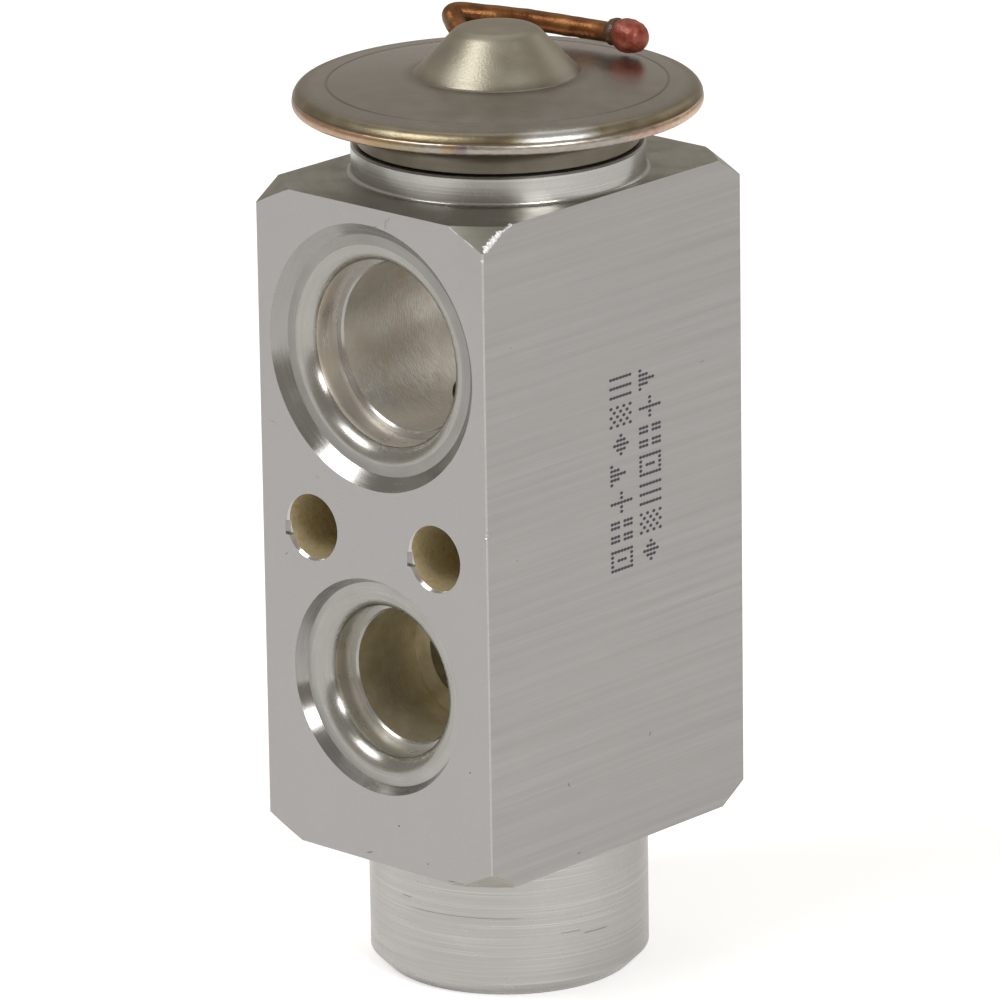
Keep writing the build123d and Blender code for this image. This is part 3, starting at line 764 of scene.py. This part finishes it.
def burr(name, start, end, first, second, width, seed, metal=burr_metal, spacing=0.1):
    """A ragged strip along an edge. First and second point from the edge into its two faces."""
    chance = random.Random(seed)
    start, end = Vector(start), Vector(end)
    first, second = Vector(first).normalized(), Vector(second).normalized()
    out = -(first + second).normalized()
    count = max(3, round((end - start).length / spacing))
    rows = []
    for step in range(count + 1):
        share = step / count
        ends = min(1, 6 * share + 0.2, 6 * (1 - share) + 0.2)
        wide = width * chance.uniform(0.55, 1.15) * ends
        lift = width * chance.uniform(0.08, 0.3) * ends
        middle = start.lerp(end, share)
        rows.append([
            middle + first * wide - out * burr_sink,
            middle + first * wide * 0.5 + out * lift * 0.7,
            middle + out * lift,
            middle + second * wide * 0.3 + out * lift * 0.5,
            middle + second * wide * 0.6 - out * burr_sink,
        ])
    made = skinned(name, rows, [metal], strip=True)
    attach(made, "housing")


edge_x, edge_y = block_half_width, -block_half_depth
on_right, on_front = (-1, 0, 0.55), (0, 1, 0.66)
under_right, under_front = (0, 0.53, -0.85), (-0.4, 0, -0.9)
bruised = {"metal": bruise_metal, "spacing": 0.14}
burr("burr_front_corner", (edge_x, -18.7, 79.72), (edge_x, -16.1, 81.36), on_right, under_right, 0.6, 5)
burr("burr_corner_end", (edge_x, -16.2, 81.3), (edge_x, -14.6, 81.72), on_right, (0, 0.2, -1), 0.36, 8)
burr(
    "burr_corner_spot", (edge_x, edge_y, 79.15), (edge_x, edge_y, 78.75), (-1, 0, 0), (0, 1, 0), 0.4, 3,
)
burr("burr_cone_front_a", (12.6, edge_y, 80.71), (13.9, edge_y, 80.1), on_front, under_front, 0.16, 4)
burr("burr_cone_front_b", (10.6, edge_y, 81.63), (11.9, edge_y, 81.03), on_front, under_front, 0.13, 6)
burr(
    "bruise_low_right", (edge_x, -18.6, 16.5), (edge_x, -15.6, 14.62), (0, 0.5, 0.86), (-1, 0, -0.55),
    0.3, 9, **bruised,
)
burr(
    "bruise_low_front", (9.7, edge_y, 14.6), (11.5, edge_y, 14.98), (0, 0, 1), (0, 1, -0.2),
    0.24, 12, **bruised,
)


# Ink marks: two columns of plain ink-jet dots on the right side, where such a valve is stamped.
# They hold only bars, checks, steps, boxes and a cross. Each dot is a flat drop, a hair proud.
stamp_signs = [
    "1111111 0000000 1111111 0000000 1111111",
    "1010101 0101010 1010101 0101010 1010101",
    "0001000 0011100 0111110 0011100 0001000",
    "1000000 1110000 1111100 1110000 1000000",
    "0001000 0001000 1111111 0001000 0001000",
    "1110111 1110111 0000000 1110111 1110111",
    "1111111 1000001 1011101 1000001 1111111",
]
stamp_top = 63.4
stamp_columns = (-0.7, 3.6)
stamp_lift = 0.008
dot_pitch = 0.47
dot_reach = (0.17, 0.24)
dot_sides = 10
sign_gap = 0.6


def mottled(name, size, dark, pale, gloss, depth=None, **constants):
    """A material whose colour, gloss and relief all follow one noise."""
    made = finish(name, **constants)
    specks = grain(made, size)
    paint(made, base_color=mix(specks, dark, pale), roughness=spread(specks, *gloss))
    if depth:
        paint(made, normal=relief(specks, depth))
    return made


ink = mottled("ink", 0.3, (0.025, 0.02, 0.035), (0.085, 0.075, 0.09), (0.5, 0.7), metallic=0.0)
stamp_shape = bmesh.new()
for column, start in enumerate(stamp_columns):
    level = stamp_top
    for index in range(len(stamp_signs)):
        for row in stamp_signs[(index + 3 * column) % len(stamp_signs)].split():
            level -= dot_pitch
            for across, dot in enumerate(row):
                if dot == "1":
                    drop = moved(block_half_width + stamp_lift, start + across * dot_pitch, level)
                    drop @= Matrix.Rotation(pi / 2, 4, "Y") @ Matrix.Diagonal((*dot_reach, 1, 1))
                    bmesh.ops.create_circle(
                        stamp_shape, cap_ends=True, radius=MM, segments=dot_sides, matrix=drop,
                    )
        level -= sign_gap
stamp = object_from("ink_marks", stamp_shape, [ink])
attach(stamp, "housing")


# Power head's lower cup: turned from one piece of steel, with the threaded neck, the hub that
# presses the seal and a flange that is dished up to the weld.
base_metal = turned_metal(
    "cup_steel", (0.2, 0.175, 0.14), 0.38, stain=(0.17, 0.145, 0.105), anisotropic=0.3, metallic=0.7,
)
cup_bore_radius = 8.6
cup_low, cup_floor = 77.5, 86.2
neck_radius = 12.0
hub_low, hub_radius = 84.9, 13.98
flange_radius = 19.8
cup = [(cup_bore_radius, cup_low, 0), (neck_radius - 0.3, cup_low, 0), (neck_radius, cup_low + 0.3, 0)]
cup += thread(neck_radius, 78.0, 84.2, 0, -thread_depth)
cup += banded(0, [
    (neck_radius - 0.4, 84.3), (neck_radius - 0.4, hub_low), (13.6, hub_low), (13.62, 84.74),
    (13.86, 84.74), (hub_radius, 84.86),
])
cup += banded(0, arc((hub_radius + 1.2, 85.7), 1.2, 180, 108, 8))
cup += banded(0, [
    (19.1, 88.22), (flange_radius, 88.45), (flange_radius, 88.95), (17.2, 88.95), (16.35, 88.1),
    (12.4, 87.8), (12.4, cup_floor), (cup_bore_radius, cup_floor),
])
base = turned("power_head_cup", cup, [base_metal], closed=True)
smooth(base)
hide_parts("head_base")
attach(base, "housing")


# Power head's cover: stamped steel, satin from tumbling, browned by the weld's heat towards the
# rim. Its shoulder rolls down to the weld, a scored ring runs near it, and a blunt cone rises in
# the middle.
rim_level = 90.2
rim_radius = 19.8
plate_slope = tan(radians(6.2))
cover_sheet = 1.05
shoulder_end = 20.13
shoulder_low = 89.36
shoulder_break = 19.65
shoulder_bend = 1.1
score_radius = 16.75
score_reach, score_depth = 0.14, 0.07
dome_foot_radius = 8.15
dome_top = 96.0
dome_slope = 47
dome_shoulder = 1.9
dome_foot = 0.5
heat_start, heat_end = 19.2, 20.8
heat_wander = 2.0
dome_edge_start, dome_edge_end = -0.5, 0.3
# Where painted shade darkens the crease between the shoulder and the weld bead.
crease_shade_start, crease_shade_full = 0.16, 0.03


def cover_steel():
    """Satin steel, yellower on the dome, brown at the rim but for a pale patch on its right, partly
    bare steel and partly a painted highlight. Painted shade darkens the dome's foot, the scored ring
    and the shoulder's foot.
    """
    made = finish("cover_steel", anisotropic=0.1, anisotropic_rotation=0.25)
    turning = lathe(made)
    radius = turning[1]
    satin = rings(turning, 0.12, 2.0)
    clouds = grain(made, 3, 4.0)
    cloudy = spread(clouds)
    plate = mix(cloudy, (0.33, 0.305, 0.27), (0.39, 0.365, 0.33))
    dome = mix(cloudy, (0.35, 0.32, 0.25), (0.4, 0.375, 0.3))
    rim_heat = mix(cloudy, (0.2, 0.155, 0.085), (0.32, 0.275, 0.19))
    # A pale patch on the rim's right: partly bare steel, partly a painted highlight where the right
    # softbox's reflection falls.
    bare_patch_and_highlight = mark(made, (17.1, -10.1, 89.7), (4.6, 4.6, 1.6))
    rim_heat = mix(bare_patch_and_highlight, rim_heat, (0.72, 0.71, 0.69))
    wandering = value("MULTIPLY_ADD", clouds, heat_wander * MM, radius)
    heat = fit(wandering, heat_start * MM, heat_end * MM)
    edge_start, edge_end = dome_foot_radius + dome_edge_start, dome_foot_radius + dome_edge_end
    outside = fit(radius, edge_start * MM, edge_end * MM)
    shade = mix(heat, mix(outside, dome, plate), rim_heat)
    # Painted shade: a dark band in the crease at the shoulder's foot, above the weld bead.
    crease_shade = fit(radius, (shoulder_end - crease_shade_start) * MM, (shoulder_end - crease_shade_full) * MM, 0.0, 0.8)
    shade = mix(crease_shade, shade, (0.09, 0.065, 0.035))
    # Painted shade: a dark ring on the plate round the dome's foot.
    shade = mix(near(radius, edge_end, 0.1, 1.1, 0.5), shade, (0.14, 0.11, 0.07))
    # Painted shade: a dark line in the scored ring's groove.
    shade = mix(near(radius, score_radius, 0.1, 0.2, 0.5), shade, (0.12, 0.1, 0.08))
    plate_gloss = value("MULTIPLY_ADD", heat, 0.1, spread(clouds, 0.2, 0.27))
    inside = value("SUBTRACT", 1.0, outside)
    dome_gloss = value("MULTIPLY", spread(clouds, 0.39, 0.46), inside)
    gloss = value("MULTIPLY_ADD", plate_gloss, outside, dome_gloss)
    peened = relief(grain(made, 0.22), 0.02)
    paint(made, base_color=shade, roughness=gloss, normal=relief(satin, 0.002, peened))
    brushed(made, turning)
    return made


def plate_level(reach):
    """Height of the cover's upper skin outside the dome."""
    return rim_level + (rim_radius - reach) * plate_slope


def rounded(corner, before, after, radius, steps=8):
    """Points that round a corner between two straight runs, given by a point on each."""
    corner, before, after = Vector(corner), Vector(before), Vector(after)
    to_before, to_after = (before - corner).normalized(), (after - corner).normalized()
    half = to_before.angle(to_after) / 2
    reach = radius / tan(half)
    start, end = corner + to_before * reach, corner + to_after * reach
    centre = corner + (to_before + to_after).normalized() * (radius / sin(half))
    points = []
    for step in range(steps + 1):
        ray = (start - centre).slerp(end - centre, step / steps).normalized() * radius
        points.append(tuple(centre + ray))
    return points


foot = (dome_foot_radius, plate_level(dome_foot_radius))
crown_radius = dome_foot_radius - (dome_top - foot[1]) / tan(radians(dome_slope))
crown = (crown_radius, dome_top)
skin = [(0, dome_top)]
skin += rounded(crown, (0, dome_top), foot, dome_shoulder)
skin += rounded(foot, crown, (12, plate_level(12)), dome_foot)
skin += [
    (12.4, plate_level(12.4)),
    (score_radius - score_reach, plate_level(score_radius - score_reach)),
    (score_radius, plate_level(score_radius) - score_depth),
    (score_radius + score_reach, plate_level(score_radius + score_reach)),
]
shoulder = (shoulder_break, plate_level(shoulder_break))
shoulder_foot = (shoulder_end, shoulder_low)
skin += rounded(shoulder, (17, plate_level(17)), shoulder_foot, shoulder_bend, 14)
skin += rounded(shoulder_foot, shoulder, (rim_radius, 89.2), 0.14, 6)
skin += [
    (rim_radius, 89.2), (rim_radius, 89.15), (17.2, 89.15), (16.85, plate_level(16.85) - cover_sheet),
    (dome_foot_radius - 0.25, plate_level(dome_foot_radius) - cover_sheet),
    (crown_radius - 0.35, dome_top - cover_sheet), (0, dome_top - cover_sheet),
]
cover = turned("power_head_cover", banded(0, skin), [cover_steel()], steps=256)
smooth(cover, 35)
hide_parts("head_cover")
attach(cover, "housing")


# Weld bead: welded right round the rim, with heat colours from straw over copper to violet that follow
# the angle round the valve, and a pale band on its right that is a painted highlight. The bead is
# slightly rippled.
weld_radius = 19.75
weld_height = 88.82
weld_bulge = 0.42
weld_half_height = 0.6
weld_steps = 720
tint_turn = 0.494
tint_waver = 0.012
# pale is a painted highlight: the ramp puts it on the bead's right, where the right softbox's
# reflection falls.
gold, copper, rose, pale = (0.44, 0.32, 0.17), (0.6, 0.4, 0.28), (0.6, 0.42, 0.33), (0.88, 0.66, 0.5)
silver, straw, violet = (0.43, 0.4, 0.36), (0.4, 0.33, 0.23), (0.25, 0.18, 0.25)
tints = [
    (0.0, gold), (0.12, copper), (0.25, copper), (0.385, copper), (0.4, gold), (0.425, straw),
    (0.453, silver), (0.462, gold), (0.471, violet), (0.478, silver), (0.595, silver), (0.63, rose),
    (0.69, pale), (0.75, copper), (0.82, rose), (0.9, silver), (1.0, gold),
]


def weld_colours():
    """The heat colours and a painted highlight, from a ramp that runs once round the valve and starts
    at its back.
    """
    made = finish("weld_heat_colours_and_highlight", anisotropic=0.2)
    inputs = {"Vector": here(made), "Angle": radians(-view_azimuth)}
    faced = node("VectorRotate", named=inputs, rotation_type="Z_AXIS").outputs[0]
    parts = node("SeparateXYZ", faced).outputs
    bearing = value("ARCTAN2", parts[0], value("MULTIPLY", parts[1], -1.0))
    ripple = grain(made, (0.7, 0.7, 0.35))
    rippled = spread(ripple)
    share = value("MULTIPLY_ADD", bearing, 1 / (2 * pi), tint_turn)
    share = value("MULTIPLY_ADD", rippled, tint_waver, share)
    heat_ramp = node("ValToRGB", share)
    stops = heat_ramp.color_ramp.elements
    for index, (at, tint) in enumerate(tints):
        stop = stops[index] if index < 2 else stops.new(at)
        stop.position = at
        stop.color = (*tint, 1)
    tinted = heat_ramp.outputs[0]
    sooty = mix(0.35, tinted, (0.2, 0.15, 0.1))
    paint(
        made,
        base_color=mix(rippled, sooty, tinted),
        roughness=spread(ripple, 0.27, 0.38),
        normal=relief(ripple, 0.02),
    )
    return made


chance = random.Random(3)
ripples = [
    (chance.randrange(20, 90), chance.uniform(0, 6.3), chance.uniform(0.003, 0.009)) for _ in range(9)
]
bead = []
for step in range(weld_steps):
    angle = 2 * pi * step / weld_steps
    wobble = sum(size * sin(count * angle + phase) for count, phase, size in ripples)
    row = []
    for reach, level in arc((0, weld_height), weld_bulge, -90, 90, 10):
        rise = weld_height + (level - weld_height) * weld_half_height / weld_bulge + wobble * 0.4
        row.append(polar(weld_radius + reach * (1 + wobble), angle, rise))
    bead.append(row)
weld = skinned("rim_weld_bead", bead, [weld_colours()], closed=True)
smooth(weld, 50)
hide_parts("rim_weld")
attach(weld, "housing")


# Seals: black moulded nitrile rings with a dull skin. One lies between head and block, one on
# the rod and one in the adjusting screw's groove.
rubber = mottled(
    "seal_rubber", 0.12, (0.012, 0.012, 0.013), (0.03, 0.03, 0.032), (0.42, 0.6), 0.01, metallic=0.0,
)


def dress(name, material):
    """Gives a node of the frame its finish."""
    for slot in bpy.data.objects[name].material_slots:
        slot.material = material


for name in ("head_seal", "rod_seal_ring", "adjuster_seal"):
    dress(name, rubber)


# Charge tube: soft copper capillary, browned by the brazing torch, curled round behind the dome.
# Its end is closed with a red blob of solder, its root is brazed to the cover.
tube_radius = 1.05
bend_reach = 5
bends = [
    (10.5, 145.7, 90.3), (10.7, 145.7, 92.2), (13.0, 149.5, 92.6), (15.1, 150.2, 93.95),
    (15.6, 134, 93.2), (15.45, 119.7, 92.8), (15.4, 105.5, 92.5), (15.6, 91.2, 92.42),
    (15.75, 77.6, 92.52),
]
collar_start, collar_end = 2.4, 3.0


def tube_copper():
    """Browned copper with olive spots, greyed at the elbow by the flux."""
    made = finish("tube_copper", metallic=0.75)
    bloom = grain(made, 2.2, 4.0)
    olive_spots = fit(grain(made, 1.1), 0.54, 0.68, 0.0, 0.35)
    elbow = mark(made, (-12.9, 7.4, 92.9), (2.1, 2.4, 1.5))
    greyed = value("MULTIPLY", elbow, spread(bloom))
    shade = mix(fit(bloom, 0.35, 0.65), (0.14, 0.046, 0.012), (0.24, 0.098, 0.03))
    shade = mix(olive_spots, shade, (0.17, 0.1, 0.035))
    shade = mix(greyed, shade, (0.3, 0.29, 0.22))
    skin = relief(grain(made, 0.4, 4.0), 0.055)
    paint(made, base_color=shade, roughness=spread(bloom, 0.28, 0.42), normal=skin)
    return made


def tube_solder():
    """Red solder under flux, with a dull crust and a dark collar where it meets the tube."""
    made = finish("tube_solder", metallic=0.4, coat_weight=0.2, coat_roughness=0.12)
    flux = grain(made, 0.9, 4.0)
    crust = grain(made, (1.6, 1.2, 1.6))
    red = mix(fit(flux, 0.35, 0.65), (0.2, 0.03, 0.016), (0.4, 0.092, 0.045))
    red = mix(fit(crust, 0.52, 0.66, 0.0, 0.5), red, (0.31, 0.11, 0.085))
    sideways = node("SeparateXYZ", here(made)).outputs[0]
    past_collar = fit(sideways, collar_start * MM, collar_end * MM)
    skin = relief(grain(made, 0.25, 2.0), 0.03)
    paint(
        made,
        base_color=mix(past_collar, (0.1, 0.045, 0.022), red),
        roughness=spread(flux, 0.38, 0.58),
        normal=relief(flux, 0.2, skin),
    )
    return made


def dented_hoop(middle, across, beside, reach, sides, dent):
    """Points round a middle. Dent gives each ray's stretch."""
    turns = [2 * pi * side / sides for side in range(sides)]
    rays = [across * cos(turn) + beside * sin(turn) for turn in turns]
    return [middle + ray * reach * dent(ray) for ray in rays]


line = []
corners = [polar(radius, radians(angle), level) for radius, angle, level in bends]
for first, second in zip(corners, corners[1:]):
    count = round((second - first).length / 0.2)
    line += [first.lerp(second, step / count) for step in range(count)]
line.append(corners[-1])
route = []
for index in range(len(line)):
    reach = min(bend_reach, index, len(line) - 1 - index)
    run = line[index - reach:index + reach + 1]
    route.append(sum(run, Vector()) / len(run))
hoops = []
across = (route[1] - route[0]).normalized().orthogonal()
for before, point, following in zip(route[:1] + route, route, route[1:] + route[-1:]):
    ahead = (following - before).normalized()
    across = (across - ahead * across.dot(ahead)).normalized()
    hoops.append(dented_hoop(
        point, across, ahead.cross(across), tube_radius, 24,
        lambda ray: 1 + 0.05 * noise.noise((point + ray) * 0.8),
    ))
copper_skin = tube_copper()
dress("tube_root_braze", copper_skin)
tube = skinned("charge_tube_copper", hoops, [copper_skin], caps=True)
smooth(tube, 40)
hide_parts("charge_tube")
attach(tube, "housing")

tip_heading = Vector((0.9943, -0.1022, -0.0319))
tip_middle = Vector((3.78, 15.37, 92.54))
tip_profile = [
    (-2.75, 1.02), (-2.7, 1.2), (-2.4, 1.36), (-2.1, 1.42), (-1.85, 1.36), (-1.7, 1.2), (-1.62, 1.2),
    (-1.5, 1.33), (-1.3, 1.45), (-1.0, 1.58), (-0.6, 1.69), (-0.1, 1.73), (0.4, 1.7), (0.85, 1.58),
    (1.2, 1.4), (1.5, 1.12), (1.7, 0.78), (1.82, 0.4), (1.86, 0.08),
]
tip_across = tip_heading.orthogonal().normalized()
tip_beside = tip_heading.cross(tip_across)
hoops = []
for along, reach in tip_profile:
    offset = tip_heading * along
    hoops.append(dented_hoop(
        tip_middle + offset, tip_across, tip_beside, reach, 40,
        lambda ray: 1 + 0.11 * noise.noise((ray * reach + offset) * 0.75 + Vector((3, 1, 5)))
        + 0.05 * noise.noise((ray * reach + offset) * 2.1),
    ))
tip = skinned("solder_tip", hoops, [tube_solder()], caps=True)
smooth(tip, 60)
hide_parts("tube_tip")
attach(tip, "housing")


# Inside the head and the bores: the diaphragm, the disc under it, the rod that feels the gas,
# its seal washer, the push pin, the ball and its carrier with the damper clip.
brass = {"line": 0.1, "depth": 0.003, "stain": (0.42, 0.27, 0.1), "stain_share": 0.3}
for name, metal, color, roughness, line, depth in (
    ("diaphragm", "diaphragm_steel", (0.58, 0.56, 0.53), 0.16, 0.3, 0.001),
    ("thrust_disc", "disc_steel", (0.5, 0.48, 0.45), 0.3, 0.14, 0.003),
    ("sensing_rod", "rod_aluminium", (0.6, 0.59, 0.58), 0.24, 0.1, 0.002),
    ("push_pin", "pin_steel", (0.56, 0.55, 0.53), 0.14, 0.08, 0.0006),
):
    dress(name, turned_metal(metal, color, roughness, line=line, depth=depth))
polished = {"line": 0.4, "depth": 0.0002, "anisotropic": 0.0}
dress("valve_ball", turned_metal("ball_steel", (0.62, 0.61, 0.6), 0.06, **polished))
dress("ball_carrier", turned_metal("carrier_brass", (0.66, 0.47, 0.21), 0.22, **brass))
sheet_dark, sheet_pale = (0.42, 0.4, 0.36), (0.56, 0.54, 0.51)
sheet = mottled(
    "spring_sheet", (0.1, 3, 0.1), sheet_dark, sheet_pale, (0.2, 0.34), 0.004, anisotropic=0.3,
)
dress("carrier_damper", sheet)
dress("rod_seal_retainer", sheet)


# Superheat spring: drawn wire, closed and ground flat at both ends. It presses the ball up
# through its carrier, and shortens as the valve opens. It is two meshes that meet at its middle.
spring_low, spring_high = 8.62, 20.26
coil_radius = 4.3
wire_radius = 0.62
spring_turns = 6
turn_steps = 48
wire_sides = 16
ground_share = 0.3
closed_pitch = 1.15
wire_dark, wire_pale = (0.3, 0.29, 0.275), (0.46, 0.45, 0.43)
wire = mottled("spring_wire", 0.25, wire_dark, wire_pale, (0.22, 0.36), 0.008, anisotropic=0.2)
first_level = spring_low + wire_radius * ground_share
last_level = spring_high - wire_radius * ground_share
free_pitch = (last_level - first_level - 2 * closed_pitch) / (spring_turns - 2)


def coil_level(turns):
    """Height of the wire's middle: one closed turn at each end, evenly open between."""
    if turns < 1:
        return first_level + closed_pitch * turns
    if turns > spring_turns - 1:
        return last_level - closed_pitch * (spring_turns - turns)
    return first_level + closed_pitch + free_pitch * (turns - 1)


def coil_half(name, first_step, last_step):
    """Half of the spring, as a mesh of its own."""
    hoops = []
    for step in range(first_step, last_step + 1):
        turns = step / turn_steps
        level = (coil_level(max(turns - 0.15, 0)) + coil_level(min(turns + 0.15, spring_turns))) / 2
        section = arc((coil_radius, level), wire_radius, 0, 360, wire_sides)[:-1]
        angle = 2 * pi * turns
        hoops.append([
            polar(reach, angle, min(max(lift, spring_low), spring_high)) for reach, lift in section
        ])
    made = skinned(name, hoops, [wire], caps=True)
    smooth(made, 40)
    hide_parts("superheat_spring")
    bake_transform(made)


half_way = spring_turns * turn_steps // 2
coil_half(
    "superheat_spring_lower", 0, half_way,
)
coil_half(
    "superheat_spring_upper", half_way, 2 * half_way,
)


# Adjusting screw: turned brass with a thread, a groove for its O-ring and a spigot inside the
# spring. A hex key turns it from below.
screw_low, screw_high = 1.6, 8.6
screw_radius = 7.95
groove_radius, groove_low, groove_high = 6.4, 6.0, 7.8
spigot_radius, spigot_top = 3.5, 10.6
key_radius = 3.0 / cos(pi / 6)
key_floor = 4.9
screw_metal = turned_metal("screw_brass", (0.66, 0.47, 0.21), 0.24, **brass)
screw = banded(0, [(0, screw_low), (7.5, screw_low), (screw_radius, 2.0)])
screw += thread(screw_radius, 2.1, 5.9, 0, -thread_depth)
screw += banded(0, [
    (screw_radius, groove_low), (groove_radius, groove_low), (groove_radius, groove_high),
    (screw_radius, groove_high), (screw_radius, screw_high), (spigot_radius, screw_high),
    (spigot_radius, spigot_top - 0.2), (spigot_radius - 0.2, spigot_top), (0, spigot_top),
])
screw_body = turned("adjusting_screw_brass", screw, [screw_metal], steps=160)
key = banded(0, [(0, 0), (key_radius, 0), (key_radius, key_floor), (0, key_floor + 0.3)])
cut(screw_body, turned("key_cutter", key, [screw_metal], steps=6))
smooth(screw_body)
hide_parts("adjusting_screw")
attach(screw_body, "adjuster")

scene.view_settings.view_transform = "Standard"
